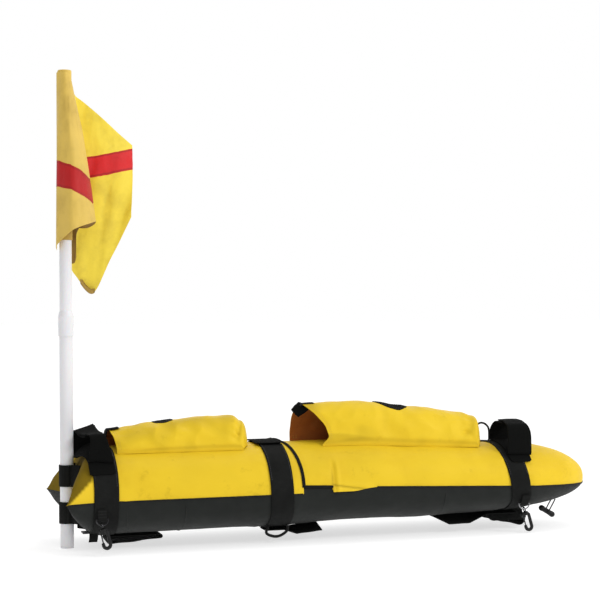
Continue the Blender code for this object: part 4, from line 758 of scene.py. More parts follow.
def stitch_row(name, points, normals, look, pitch=STITCH_PITCH):
    """Stitches along a line of points, each lying on the cloth."""
    shape = bmesh.new()
    walked = pitch / 2
    total = 0.0
    for a, b, up in zip(points, points[1:], normals):
        step = (b - a).length
        while walked < total + step and step > 0:
            ahead = (b - a).normalized()
            aside = up.cross(ahead).normalized()
            top = ahead.cross(aside)
            turn = Matrix((ahead, aside, top)).transposed().to_4x4()
            spot = a.lerp(b, (walked - total) / step) + top * STITCH_LIFT
            before = len(shape.verts)
            shape.from_mesh(STITCH)
            shape.verts.ensure_lookup_table()
            bmesh.ops.transform(shape, matrix=Matrix.Translation(spot) @ turn, verts=shape.verts[before:])
            walked += pitch
        total += step
    mesh = bpy.data.meshes.new(name)
    shape.to_mesh(mesh)
    shape.free()
    mesh.materials.append(look)
    mesh.shade_smooth()
    return new_object(name, mesh)


# Cords, which come first among the pieces. Routes are lists of points in metres.

CORD_BEVEL_RESOLUTION = 4
STRINGER_Y = -0.071
STRINGER_DIAMETER = 0.0055
# Each point's place along the hull and its drop below the strap.
STRINGER_ROUTE = ((-0.147, 0.0), (-0.1475, 0.0040), (-0.1505, 0.0115), (-0.144, 0.0170),
                  (-0.131, 0.0200), (-0.120, 0.0175), (-0.1105, 0.0110), (-0.1085, 0.0040), (-0.1085, 0.0))
NOSE_CORD_DIAMETER = 0.0025
NOSE_TOGGLE_DIAMETER = 0.009
NOSE_TOGGLE_POINT = Vector((0.443, -0.038, 0.0310))
NOSE_CORD_AHEAD_SHARE = 1.6
NOSE_CORD_SINK_SHARE = 0.4
NOSE_CORD_LIFT_SHARE = 0.3
NOSE_CORD_PINCH_SHARE = 0.25


def cord_line(name, points, diameter, look):
    data = bpy.data.curves.new(name, "CURVE")
    data.dimensions = "3D"
    data.bevel_depth = diameter / 2
    data.bevel_resolution = CORD_BEVEL_RESOLUTION
    data.use_fill_caps = True
    line = data.splines.new("POLY")
    line.points.add(len(points) - 1)
    for spot, point in zip(line.points, points):
        spot.co = (*point, 1.0)
    data.materials.append(look)
    return new_object(name, data)


def make_stringer_cord():
    points = []
    for x, drop in STRINGER_ROUTE:
        ceiling = hull_bottom(x, STRINGER_Y, strap_stack()) - STRAP_SEAT
        points.append(Vector((x, STRINGER_Y, ceiling - drop)))
    line = smooth_route(points, STRINGER_DIAMETER / 2)
    loop = cord_line("stringer_cord_loop", line, STRINGER_DIAMETER, cord_cover)
    settle(loop, "hull", "black webbing", "stringer_cord")


def make_nose_cord():
    middle = NOSE_TOGGLE_POINT
    top_x = middle.x + NOSE_TOGGLE_DIAMETER * NOSE_CORD_AHEAD_SHARE
    sides = []
    for y in (middle.y - NOSE_TOGGLE_DIAMETER, middle.y + NOSE_TOGGLE_DIAMETER):
        top = Vector((top_x, y, hull_bottom(top_x, y) - NOSE_CORD_DIAMETER * NOSE_CORD_SINK_SHARE))
        knee = Vector((middle.x * 0.5 + top_x * 0.5, y, (middle.z + top.z) / 2))
        low = Vector((middle.x + NOSE_CORD_DIAMETER * NOSE_CORD_SINK_SHARE,
                      y * (1.0 - NOSE_CORD_PINCH_SHARE) + middle.y * NOSE_CORD_PINCH_SHARE,
                      middle.z + NOSE_CORD_DIAMETER * NOSE_CORD_LIFT_SHARE))
        sides.append([top, knee, low])
    line = smooth_route(sides[0] + [middle.copy()] + sides[1][::-1], NOSE_CORD_DIAMETER / 2)
    loop = cord_line("nose_cord_loop", line, NOSE_CORD_DIAMETER, cord_cover)
    settle(loop, "nose_toggle", "black webbing", "nose_cord")


make_stringer_cord()
make_nose_cord()

# Hull covers. Rows of points run round the hull, closer together at its ends.

ROWS_NEAR_TAIL = 26
ROWS_AT_NOSE = 40
ROW_SPACING = 0.0075
ROW_TAIL_POWER = 1.7
ROW_END_CLEARANCE = 0.004


def fine_stations(start, end):
    tail_end = TAIL_MIDDLE_X + TAIL_EDGE_REACH
    nose_start = NOSE_X - NOSE_KEEL_LENGTH
    places = [TAIL_MIDDLE_X + TAIL_EDGE_REACH * (i / ROWS_NEAR_TAIL) ** ROW_TAIL_POWER
              for i in range(ROWS_NEAR_TAIL + 1)]
    count = round((nose_start - tail_end) / ROW_SPACING)
    places += [tail_end + (nose_start - tail_end) * i / count for i in range(1, count)]
    for i in range(ROWS_AT_NOSE + 1):
        places.append(nose_start + NOSE_KEEL_LENGTH * math.sin(math.pi / 2 * i / ROWS_AT_NOSE))
    return [start, *[x for x in places if start + ROW_END_CLEARANCE < x < end - ROW_END_CLEARANCE], end]


# Unevenness of the blown-up covers: a scale of the noise and a depth in metres
# for each kind, and how far it reaches from the seam or the strap that makes it.

SWELL_HALF_WIDTH = 0.11
SWELL_SCALE = 14.0
SWELL_DEPTH = 0.0011
RIPPLE_SCALE = 38.0
RIPPLE_DEPTH = 0.0005
RIPPLE_SHIFT = Vector((7.0, 3.0, 1.0))
PUCKER_SCALE = 75.0
PUCKER_DEPTH = 0.0011
PUCKER_REACH = 0.014
CALM_REACH = 0.010
BINDING_CALM = 0.004
OUTWARD_STEP = 0.001
SHOULDER_PLACE = 0.012
SHOULDER_REACH = 0.009
SHOULDER_HEIGHT = 0.0009
STRAP_RAYS = 26.0
STRAP_RAY_PLACE = 0.006
STRAP_RAY_REACH = 0.010
STRAP_RAY_DEPTH = 0.0004
TAIL_FADE_LENGTH = 0.05
NOSE_FADE_LENGTH = 0.06


def wrinkle(x, angle, low):
    """How far the blown-up cover stands out or in at a place, in metres."""
    across, up = section_shares(angle)
    height = up * (KEEL_DEPTH if low else CROWN_HEIGHT)
    spot = Vector((x, across * SWELL_HALF_WIDTH, height))
    swell = noise.noise(spot * SWELL_SCALE) * SWELL_DEPTH
    swell += noise.noise(spot * RIPPLE_SCALE + RIPPLE_SHIFT) * RIPPLE_DEPTH
    pucker = noise.noise(Vector((x * PUCKER_SCALE, 2.0, 5.0))) * PUCKER_DEPTH
    pucker *= hump(abs(height), PUCKER_REACH)
    binding = BINDING_X - BINDING_BOW * max(0.0, up) ** 2
    calm = min(1.0, ease((abs(x - binding) - BINDING_CALM) / CALM_REACH))
    shoulder = 0.0
    for strap in (REAR_STRAP_X, MIDDLE_STRAP_X, FRONT_STRAP_X):
        away = abs(x - strap) - WEBBING_WIDTH / 2
        calm = min(calm, ease(away / CALM_REACH))
        if away > 0:
            shoulder = max(shoulder, hump(away - SHOULDER_PLACE, SHOULDER_REACH) * SHOULDER_HEIGHT)
            rays = math.sin(angle * STRAP_RAYS + strap * 50.0) * STRAP_RAY_DEPTH
            shoulder += rays * hump(away - STRAP_RAY_PLACE, STRAP_RAY_REACH)
    fade = ease((x - TAIL_MIDDLE_X) / TAIL_FADE_LENGTH) * ease((NOSE_X - x) / NOSE_FADE_LENGTH)
    return (swell + pucker) * calm * (0.25 + 0.75 * fade) + shoulder * fade * calm


# The front cover's loose near hem, with a crease where it is turned up and an
# upright tuck above its rear end. Places and heights are in metres.

HEM_START_X = -0.034
HEM_FULL_X = 0.008
HEM_END_X = 0.062
HEM_STEP = 0.003
HEM_OVERHANG_ANGLE = 0.0080
HEM_LOOSE_TOP = 0.118
HEM_LOOSE_PUSH = 0.0042
HEM_LOOSE_REACH = 0.018
HEM_CREASE_HEIGHT = 0.1105
HEM_CREASE_SLOPE = 0.155
HEM_CREASE_FADE_X = 0.030
HEM_CREASE_WIDTH = 0.0022
HEM_CREASE_SHADE_WIDTH = 0.0019
HEM_CREASE_DEPTH = 0.0016
TUCK_FOOT = 0.096
TUCK_TOP = 0.162
TUCK_TOP_FADE = 0.020
TUCK_PLACE = 0.006
TUCK_WIDTH = 0.0035
TUCK_DEPTH = 0.0022
TUCK_RIDGE_PLACE = 0.0135
TUCK_RIDGE_WIDTH = 0.004
TUCK_RIDGE_HEIGHT = 0.0016


def hem_sag(x):
    """How far the front cover's near hem hangs over the seam, from 0 to 1."""
    return ease((x - HEM_START_X) / HEM_STEP) * (1.0 - ease((x - HEM_FULL_X) / (HEM_END_X - HEM_FULL_X)))


def hem_crease(x, z, width):
    """Share of the crease where the loose hem is turned up, from 0 to 1."""
    height = HEM_CREASE_HEIGHT - (x - HEM_START_X) * HEM_CREASE_SLOPE
    ends = ease((x - HEM_START_X - 0.002) / 0.004) * (1.0 - ease((x - HEM_CREASE_FADE_X) / 0.025))
    return hump(z - height, width) * ends


def hem_fold(x, z):
    """Outward push of the loose hem and of the upright tuck above its rear end."""
    below_top = ease((TUCK_TOP - z) / TUCK_TOP_FADE)
    tuck = hump(x - HEM_START_X - TUCK_PLACE, TUCK_WIDTH) * below_top * ease((z - TUCK_FOOT) / 0.008)
    ridge = hump(x - HEM_START_X - TUCK_RIDGE_PLACE, TUCK_RIDGE_WIDTH) * below_top
    loose = ease((HEM_LOOSE_TOP - z) / HEM_LOOSE_REACH) * hem_sag(x)
    crease = hem_crease(x, z, HEM_CREASE_WIDTH)
    return (loose * HEM_LOOSE_PUSH - tuck * TUCK_DEPTH + ridge * TUCK_RIDGE_HEIGHT
            - crease * HEM_CREASE_DEPTH)


def cover_point(station, angle, lift, low):
    across, up = section_shares(angle)
    fade = clamp(1.0 - (station - TAIL_MIDDLE_X) / TAIL_EDGE_REACH)
    x = station + (tail_edge(across, 0.0) - TAIL_MIDDLE_X) * fade
    if up > 0:
        bow = clamp(1.0 - abs(station - BINDING_X) / BINDING_BOW_REACH)
        x -= BINDING_BOW * math.sin(angle) ** 2 * bow
    point = hull_point(x, angle, 0.0, lift)
    out = hull_point(x, angle, -OUTWARD_STEP, lift) - point
    if out.length > 0:
        push = wrinkle(x, angle, low)
        if not low and angle > math.pi / 2:
            push += hem_fold(x, point.z)
        point += out.normalized() * push
    return point


def cover_rows(places, first, last, steps, lift, low):
    rows = []
    for place in places:
        start = first(place)
        end = last(place)
        rows.append([cover_point(place, start + (end - start) * i / steps, lift, low)
                     for i in range(steps + 1)])
    return rows


def near_seam(x):
    return math.pi - seam_angle(x)


def under_near_seam(x):
    """The near seam's angle, reached by way of the keel."""
    return -math.pi - seam_angle(x)


def near_hem(x):
    return math.pi - seam_angle(x) * (1.0 - hem_sag(x)) - HEM_OVERHANG_ANGLE * hem_sag(x)


# Painted olive shade on the backs of the two ears, which lie behind these places.

NEAR_EAR_BACK_X = -0.474
FAR_EAR_BACK_X = -0.488
EAR_BACK_FADE = 0.008
EAR_LINE_X = -0.531
EAR_LINE_HEIGHT = 0.0915
EAR_LINE_SLOPE = 0.89
EAR_LINE_FADE = 0.006
EAR_BACK_PAINTED_SHADE = 0.95
BLOTCH_SCALE = 17.0
BLOTCH_TONE = 0.10
TUCK_SHADE_PLACE = 0.0030
TUCK_SHADE_WIDTH = 0.0022
TUCK_SHADE_TOP = 0.150
TUCK_PAINTED_SHADE = 0.34
HEM_CREASE_PAINTED_SHADE = 0.48
NEAR_SIDE_Y = -0.085
FAR_EAR_Y = 0.05


def cover_shade_and_stain(point):
    """Painted olive shade on the ears' backs, in the tuck and the hem's crease; faint random stains."""
    x, y, z = point
    line = EAR_LINE_HEIGHT + (x - EAR_LINE_X) * EAR_LINE_SLOPE
    # Painted shade on the rear-facing backs of the ears.
    back = ease((z - line) / EAR_LINE_FADE) * ease((NEAR_EAR_BACK_X - x) / EAR_BACK_FADE)
    if y > FAR_EAR_Y:
        back = ease((FAR_EAR_BACK_X - x) / EAR_BACK_FADE)
    blotch = max(0.0, noise.noise(point * BLOTCH_SCALE)) * BLOTCH_TONE
    near = ease((NEAR_SIDE_Y - y) / 0.010)
    # Painted shade in the upright tuck.
    tuck = hump(x - HEM_START_X - TUCK_SHADE_PLACE, TUCK_SHADE_WIDTH)
    tuck *= ease((TUCK_SHADE_TOP - z) / 0.030) * ease((z - TUCK_FOOT) / 0.004)
    # Painted shade along the crease of the turned-up hem.
    turned = hem_crease(x, z, HEM_CREASE_SHADE_WIDTH)
    return min(1.0, back * EAR_BACK_PAINTED_SHADE + blotch + near * (tuck * TUCK_PAINTED_SHADE + turned * HEM_CREASE_PAINTED_SHADE))


UPPER_COVER_STEPS = 150
LOWER_COVER_STEPS = 56
HEM_ROWS = 17
HEM_ROW_PITCH = 0.002
HEM_ROWS_START = -0.005
HEM_ROWS_CLEARANCE = 0.001


def make_covers():
    gap = SEAM_GAP / 2
    rear = fine_stations(TAIL_MIDDLE_X, BINDING_X - gap)
    front = fine_stations(BINDING_X + gap, NOSE_X)
    hem = [HEM_START_X + HEM_ROWS_START + HEM_ROW_PITCH * i for i in range(HEM_ROWS)]
    front = [x for x in front if not hem[0] - HEM_ROWS_CLEARANCE < x < hem[-1] + HEM_ROWS_CLEARANCE]
    front = sorted(front + hem)
    for name, places, last, node in (("rear_cover_cloth", rear, near_seam, "rear_upper_cover"),
                                     ("front_cover_cloth", front, near_hem, "front_upper_cover")):
        rows = cover_rows(places, seam_angle, last, UPPER_COVER_STEPS, gap, False)
        tones = [[cover_shade_and_stain(point) for point in row] for row in rows]
        piece = cloth(name, rows, COVER_THICKNESS, [yellow_cloth], side=-1.0, tones=tones)
        settle(piece, "hull", "yellow fabric", node)
    rows = cover_rows(rear + front, seam_angle, under_near_seam, LOWER_COVER_STEPS, -gap, True)
    piece = cloth("lower_cover_cloth", rows, COVER_THICKNESS, [grey_nylon])
    settle(piece, "hull", "charcoal fabric", "lower_cover")


make_covers()

# Seam edgings, which are narrow sewn tapes along the seams of the covers.

EDGING_FOOT = 0.0002
EDGING_PROBE = 0.0012
EDGING_THICKNESS = 0.0006
EDGING_SECTION = ((-1.0, 0.0), (-0.7, 0.8), (0.0, 1.0), (0.7, 0.8), (1.0, 0.0))
EDGING_TAIL_CLEARANCE = 0.004
EDGING_BINDING_CLEARANCE = 0.002
EDGING_NOSE_CLEARANCE = 0.003
EDGING_HEM_LAP = 0.012
REAR_EDGING_STEPS = 70
FRONT_EDGING_STEPS = 90
FOOT_TAPE_START = BINDING_X + 0.001
FOOT_TAPE_END = HEM_START_X + 0.003
FOOT_TAPE_STEPS = 16


def seam_strip(name, places, angle_at, width, proud, look, slot):
    """Narrow sewn edging that follows a seam."""
    rows = []
    for side, crown in EDGING_SECTION:
        line = []
        for x in places:
            middle = hull_point(x, angle_at(x), -EDGING_FOOT)
            middle.z += side * width / 2
            out = outward(x, angle_at(x), -EDGING_FOOT, -EDGING_PROBE)
            line.append(middle + out * proud * crown)
        rows.append(line)
    piece = cloth(name, rows, EDGING_THICKNESS, [look], side=0.0)
    settle(piece, "hull", slot)


def make_seam_edgings():
    start = TAIL_X + EDGING_TAIL_CLEARANCE
    rear = even_places(start, BINDING_X - EDGING_BINDING_CLEARANCE - start, REAR_EDGING_STEPS)
    front = even_places(BINDING_X, NOSE_X - EDGING_NOSE_CLEARANCE - BINDING_X, FRONT_EDGING_STEPS)
    near = [x for x in front if x > HEM_END_X - EDGING_HEM_LAP]
    foot = even_places(FOOT_TAPE_START, FOOT_TAPE_END - FOOT_TAPE_START, FOOT_TAPE_STEPS)
    for name, places, angle_at, width, proud in (
            ("rear_near_seam_edging", rear, near_seam, 0.0022, 0.0012),
            ("rear_far_seam_edging", rear, seam_angle, 0.0022, 0.0012),
            ("front_near_seam_edging", near, near_seam, 0.0034, 0.0014),
            ("front_far_seam_edging", front, seam_angle, 0.0030, 0.0014)):
        seam_strip(name, places, angle_at, width, proud, seam_look, "charcoal fabric")
    seam_strip("binding_foot_tape", foot, near_seam, 0.0064, 0.0022, webbing, "black webbing")


# Seams that run down across the lower cover: place, near side (1) or far side (-1),
# and how far the seam bends forward on its way down, in metres.

CROSS_SEAMS = (("rear_near", -0.312, 1, 0.0), ("front_near", 0.196, 1, 0.0), ("tail_near", -0.421, 1, 0.010),
               ("rear_far", -0.312, -1, 0.0), ("front_far", 0.196, -1, 0.0))
CROSS_SEAM_STEPS = 30
CROSS_SEAM_START = 6
CROSS_SEAM_SWEEP = 78
CROSS_SEAM_HALF_WIDTH = 0.0011
CROSS_SEAM_FOOT = 0.0004
CROSS_SEAM_CROWN = 0.0006
CROSS_SEAM_THICKNESS = 0.0005


def make_cross_seams():
    for place, x, side, bend in CROSS_SEAMS:
        rows = []
        for share, crown in ((-1.0, 0.0), (0.0, 1.0), (1.0, 0.0)):
            line = []
            for i in range(CROSS_SEAM_STEPS + 1):
                down = math.radians(CROSS_SEAM_START + CROSS_SEAM_SWEEP * i / CROSS_SEAM_STEPS)
                turn = (math.pi if side > 0 else 0.0) + side * down
                along = x + bend * ease(i / CROSS_SEAM_STEPS) + CROSS_SEAM_HALF_WIDTH * share
                line.append(hull_point(along, turn, -CROSS_SEAM_CROWN * crown - CROSS_SEAM_FOOT))
            rows.append(line)
        piece = cloth("lower_cover_seam_" + place, rows, CROSS_SEAM_THICKNESS, [grey_nylon], side=0.0)
        settle(piece, "hull", "charcoal fabric")


make_seam_edgings()
make_cross_seams()

# Binding tape over the joint of the two upper covers.

BINDING_STEPS = 90
BINDING_CROWN = 0.0004
BINDING_FOOT_SHARE = 0.9
BINDING_EDGE_SHARE = 0.42
BINDING_WALL_SHARE = 0.8


def make_binding():
    rows = []
    low = seam_angle(BINDING_X + BINDING_WIDTH) * BINDING_FOOT_SHARE
    for share in (-1.0, -0.8, -0.4, 0.0, 0.4, 0.8, 1.0):
        edge = BINDING_WIDTH * BINDING_EDGE_SHARE * share
        crown = BINDING_CROWN * (1.0 - share * share)
        line = []
        for i in range(BINDING_STEPS + 1):
            angle = low + (math.pi - 2 * low) * i / BINDING_STEPS
            x = BINDING_X - BINDING_BOW * math.sin(angle) ** 2 + edge
            line.append(hull_point(x, angle, -SEAT - crown, SEAM_GAP))
        rows.append(line)
    strap_piece("binding_tape", rows, BINDING_THICKNESS * BINDING_WALL_SHARE, webbing, "cover_binding",
                edge=FINE_EDGE)


make_binding()

# Straps round the hull. Each has its node, its place, how much wider it lies than flat
# webbing, and how much further forward it lies under the hull than over it.

HULL_STRAPS = (("rear_strap", REAR_STRAP_X - 0.002, 1.16, 0.0),
               ("middle_strap", MIDDLE_STRAP_X, 1.10, 0.005),
               ("front_strap", FRONT_STRAP_X - 0.011, 1.04, 0.015))
STRAP_STEPS = 120
STRAP_SLACK = 0.0010
STRAP_STITCH_EDGE_SHARE = 0.86


def strap_x(middle, share, widen, lean, turn):
    """Place along the hull of a point of a strap, at a share of its half width."""
    return middle + WEBBING_WIDTH / 2 * share * widen + lean * ease((math.sin(turn - math.pi) + 0.9) / 1.4)


def make_hull_strap(node, middle, widen, lean):
    name = node + "_webbing"
    turns = [2 * math.pi * i / STRAP_STEPS for i in range(STRAP_STEPS)]
    rows = []
    for share in ACROSS:
        line = []
        for turn in turns:
            spot = Vector((math.cos(turn) * 2.0, math.sin(turn) * 2.0, middle * 9.0))
            x = strap_x(middle, share, widen, lean, turn) + noise.noise(spot) * STRAP_SLACK
            line.append(hull_point(x, turn, -STRAP_SEAT))
        rows.append(line)
    strap_piece(name, rows, WEBBING_THICKNESS, webbing, node, wrap=True, edge=EDGE)
    face = STRAP_SEAT + WEBBING_THICKNESS
    for which, edge in (("rear", -STRAP_STITCH_EDGE_SHARE), ("front", STRAP_STITCH_EDGE_SHARE)):
        points = []
        ups = []
        for turn in turns[4:STRAP_STEPS // 2 - 3]:
            x = strap_x(middle, edge, widen, lean, turn)
            points.append(hull_point(x, turn, -face))
            ups.append(outward(x, turn, -face, -face - WEBBING_THICKNESS))
        row = stitch_row(name + "_" + which + "_stitches", points, ups, grey_thread)
        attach(row, "hull")


for strap in HULL_STRAPS:
    make_hull_strap(*strap)

# Flap of pile tape over the top of the middle strap.

FLAP_FRONT = 0.025
FLAP_LENGTH = 0.054
FLAP_HALF_WIDTH = 0.046
FLAP_ROWS = 12
FLAP_STEPS = 24
FLAP_SIDE_CURL = 0.0022
FLAP_SIDE_CURL_START = 0.034
FLAP_SIDE_CURL_REACH = 0.012
FLAP_FRONT_CURL = 0.0018


def make_middle_flap():
    rows = []
    for i in range(FLAP_ROWS + 1):
        share = i / FLAP_ROWS
        x = MIDDLE_STRAP_X + FLAP_FRONT - FLAP_LENGTH * (1.0 - share)
        line = []
        for j in range(FLAP_STEPS + 1):
            y = FLAP_HALF_WIDTH * (1 - 2 * j / FLAP_STEPS)
            curl = FLAP_SIDE_CURL * ease((abs(y) - FLAP_SIDE_CURL_START) / FLAP_SIDE_CURL_REACH)
            curl += FLAP_FRONT_CURL * ease(share * 6.0 - 5.0)
            line.append(Vector((x, y, hull_top(x, y) + strap_stack() + curl)))
        rows.append(line)
    strap_piece("middle_flap_pile", rows, WEBBING_THICKNESS, pile, "middle_strap_flap", edge=EDGE)


make_middle_flap()

# Webbing loops and tails of the straps under the hull.

BELLY_LOOP_Y = -0.020
BELLY_LOOP_WIDTH = 0.045
BELLY_LOOP_NIP_RADIUS = 0.0040
TAIL_SHEET_Y = -0.042
BELLY_LOOP_ARC_STEPS = 14
BELLY_LOOP_FLOOR_STEPS = 24
BELLY_LOOP_WAVE = 0.0009


def make_belly_loop(node, start, end, bottom, middle, layer, tilt, nipped_end):
    """Flat loop of webbing under a strap, nipped at its rear (-1) or front (1) end."""
    edge_y = BELLY_LOOP_Y + BELLY_LOOP_WIDTH / 2
    strap = [middle + WEBBING_WIDTH / 2 * side for side in (-1, 0, 1)]
    ceiling = min(hull_bottom(x, edge_y) for x in strap if start < x < end) - strap_stack()
    ceiling = min(ceiling, hull_bottom(start + WEBBING_WIDTH / 4, edge_y) - SEAT) - layer
    rows = []
    for share in ACROSS:
        low = bottom + tilt * (1 + share) / 2
        full = (ceiling - low) / 2
        nipped = min(BELLY_LOOP_NIP_RADIUS, full)
        rear, front = (nipped, full) if nipped_end < 0 else (full, nipped)
        pairs = arc(start + rear, ceiling - rear, rear, 90, 270, BELLY_LOOP_ARC_STEPS)
        low_x, low_z = pairs[-1]
        run = end - front - low_x
        climb = ceiling - 2 * front - low_z
        for i in range(1, BELLY_LOOP_FLOOR_STEPS):
            t = i / BELLY_LOOP_FLOOR_STEPS
            wave = math.sin(t * math.pi * 3.0 + 0.7) * BELLY_LOOP_WAVE * math.sin(t * math.pi)
            pairs.append((low_x + run * t, low_z + climb * t + wave))
        pairs += arc(end - front, ceiling - front, front, -90, 90, BELLY_LOOP_ARC_STEPS)
        y = BELLY_LOOP_Y + BELLY_LOOP_WIDTH / 2 * share
        rows.append([Vector((x, y, z)) for x, z in pairs])
    strap_piece(node + "_webbing", rows, WEBBING_THICKNESS, webbing, node, wrap=True, edge=EDGE)


FRONT_LOOP_START = 0.302

make_belly_loop("front_belly_loop", start=FRONT_LOOP_START, end=0.394, bottom=0.0065, middle=FRONT_STRAP_X,
                layer=WEBBING_THICKNESS + SEAT, tilt=0.013, nipped_end=-1)
make_belly_loop("rear_belly_loop", start=-0.448, end=-0.342, bottom=0.0090, middle=REAR_STRAP_X,
                layer=0.0, tilt=0.003, nipped_end=1)

TAIL_STEPS = 40
TAIL_LAP_SHARE = 0.4
TAIL_WAVE = 0.0008
TAIL_DROP_POWER = 1.3


def make_strap_tail(which, middle, direction, level, length, drop, slant, lean, rise):
    """Loose end of a strap: level under the hull at first, then hanging."""
    lap = WEBBING_WIDTH * TAIL_LAP_SHARE
    edge_y = TAIL_SHEET_Y + WEBBING_WIDTH / 2
    ends = [middle + WEBBING_WIDTH / 2 * side for side in (-1, 1)]
    ceiling = min(min(hull_bottom(x, edge_y) for x in ends) - strap_stack(),
                  hull_bottom(middle + direction * level, edge_y) - SEAT)
    rows = []
    for i in range(TAIL_STEPS + 1):
        line = []
        for side in ACROSS:
            along = (length - slant * (1 - side) / 2) * (i / TAIL_STEPS)
            x = middle + direction * (along - lap)
            loose = clamp((along - lap - level) / (length - lap - level))
            tilt = lean * (1 - side) / 2 * min(1.0, loose * 3.0) - rise * loose
            wave = math.sin(loose * 7.0) * TAIL_WAVE * loose
            z = ceiling - WEBBING_THICKNESS / 2 - drop * loose ** TAIL_DROP_POWER - tilt - abs(wave)
            line.append(Vector((x, TAIL_SHEET_Y + WEBBING_WIDTH / 2 * side, z)))
        rows.append(line)
    strap_piece(which + "_tail_webbing", rows, WEBBING_THICKNESS, webbing, which + "_strap_tail", side=0.0,
                edge=EDGE)


make_strap_tail("middle", MIDDLE_STRAP_X, direction=1, level=WEBBING_WIDTH / 2, length=0.112, drop=0.0015,
                slant=0.0, lean=0.0110, rise=0.0085)
make_strap_tail("front", FRONT_STRAP_X, direction=-1, level=FRONT_STRAP_X - FRONT_LOOP_START, length=0.176,
                drop=0.0035, slant=0.030, lean=0.0160, rise=0.0035)

# Pockets. Each has its start, its end, its height and the slant of its mouth,
# in metres, and shares of the height along its length.

POCKET_HALF_WIDTH = 0.060
POCKET_MOUTH_FAR_SHARE = 0.25
POCKET_END_ROUND = 0.017
POCKET_FAR_REACH = 0.012
POCKET_POWER = 2.7
POCKET_MOUTH_POWER = 2.0
POCKET_MOUTH_REACH = 0.080
LIP_HOLLOW = 0.016
POCKET_FOOT_RISE = 0.0050
POCKET_STEPS = 110
FRONT_POCKET = (-0.060, 0.303, 0.074, 0.026,
                ((0.0, 0.98), (0.22, 1.0), (0.42, 0.99), (0.62, 0.91), (0.92, 0.78), (0.975, 0.70),
                 (1.0, 0.0)))
REAR_POCKET = (-0.436, -0.174, 0.055, 0.006,
               ((0.0, 0.60), (0.16, 0.70), (0.32, 0.79), (0.48, 0.88), (0.72, 0.97), (0.90, 0.97),
                (0.96, 0.80), (1.0, 0.0)))


def smooth_line(shares, value):
    """Height share at a place, eased from one given share to the next."""
    for (x0, h0), (x1, h1) in zip(shares, shares[1:]):
        if value <= x1:
            t = clamp((value - x0) / (x1 - x0))
            if h1 == 0.0:
                return h0 * math.sqrt(1.0 - t * t)
            return h0 + (h1 - h0) * (1.0 - math.cos(math.pi * t)) / 2
    return shares[-1][1]


# Unevenness of the pockets' cloth, as scales of the noise and depths in metres.

CRUMPLE_SCALE = 15.0
CRUMPLE_DEPTH = 0.0044
CRUMPLE_FOLD_SCALE = 1.7
CRUMPLE_FOLD_DEPTH = 0.006
CRUMPLE_FOLD_LIFT = 0.0012
CRUMPLE_RIPPLE_SCALE = 3.1
CRUMPLE_RIPPLE_DEPTH = 0.0015
CORNER_SHARE = 0.93
CORNER_DEPTH = 0.0050
BASE_FOLD_HEIGHT = 0.0022
BASE_FOLD_CHANGE = 0.0018
PROBE_SHARE = 0.004
PROBE_TURN = 0.01


def pocket_crumple(start, share, side, up, spot):
    """How far the cloth stands out at a place of the pocket, in metres."""
    x, y, z = spot
    place = Vector((x * CRUMPLE_SCALE, y * CRUMPLE_SCALE, z * CRUMPLE_SCALE + start * 40.0))
    folds = abs(noise.noise(place * CRUMPLE_FOLD_SCALE)) * CRUMPLE_FOLD_DEPTH - CRUMPLE_FOLD_LIFT
    ripple = noise.noise(place * CRUMPLE_RIPPLE_SCALE) * CRUMPLE_RIPPLE_DEPTH
    amount = noise.noise(place) * CRUMPLE_DEPTH - folds * 0.9 + ripple
    amount *= 1.0 - 0.55 * ease(up * 4.0 - 3.0)
    corner = hump(share - CORNER_SHARE, 0.050) * hump(up - 0.62, 0.30)
    dent = noise.noise(Vector((x * 70.0, up * 6.0, side * 3.0)))
    amount -= corner * (CORNER_DEPTH + CORNER_DEPTH * dent)
    swell = noise.noise(Vector((x * 26.0, side, 9.0)))
    amount += hump(up - 0.16, 0.10) * (BASE_FOLD_HEIGHT + BASE_FOLD_CHANGE * swell)
    return amount * (ease(up * 2.2) * ease((1.0 - share) * 16.0))


def pocket_point(spec, share, turn, crumpled=False):
    """Point of a pocket: an arch over the hull whose height follows the shares."""
    start, end, height, slant, shares = spec
    x = start + (end - start) * share
    mouth = clamp(1.0 - (x - start) / POCKET_MOUTH_REACH)
    across = math.cos(turn)
    lean = (1.0 - across + (1.0 + across) * POCKET_MOUTH_FAR_SHARE) / 2
    x += slant * mouth * across * across * lean
    if spec is FRONT_POCKET:
        x -= POCKET_FAR_REACH * ease(across * 1.4 - 0.2) * mouth
    x -= POCKET_END_ROUND * across * across * clamp(1.0 - (end - x) / POCKET_MOUTH_REACH)
    power = POCKET_POWER + (POCKET_MOUTH_POWER - POCKET_POWER) * mouth
    side = math.copysign(abs(across) ** (2.0 / power), across)
    up = abs(math.sin(turn)) ** (2.0 / power)
    half = POCKET_HALF_WIDTH
    if spec is FRONT_POCKET and across < 0:
        x += LIP_HOLLOW * mouth * ease(up / 0.25) * (1.0 - ease((up - 0.45) / 0.6))
        half -= POCKET_FOOT_RISE * ease(1.0 - share / 0.8)
    y = side * half
    base = hull_top(x, half) + SEAT
    top = hull_top(x, 0.0) + height * smooth_line(shares, share)
    z = base + (top - base) * up
    if crumpled:
        amount = pocket_crumple(start, share, side, up, (x, y, z))
        y += side * amount * 0.9
        z += up * amount
    return Vector((x, y, max(z, hull_top(x, y) + SEAT)))


def pocket_face(spec, share, turn):
    """Point of a pocket's crumpled cloth and the direction that faces out there."""
    point = pocket_point(spec, share, turn, True)
    ahead = pocket_point(spec, clamp(share + PROBE_SHARE), turn, True) - point
    aside = pocket_point(spec, share, turn + PROBE_TURN, True) - point
    out = aside.cross(ahead).normalized()
    return point, -out if out.z < 0 else out


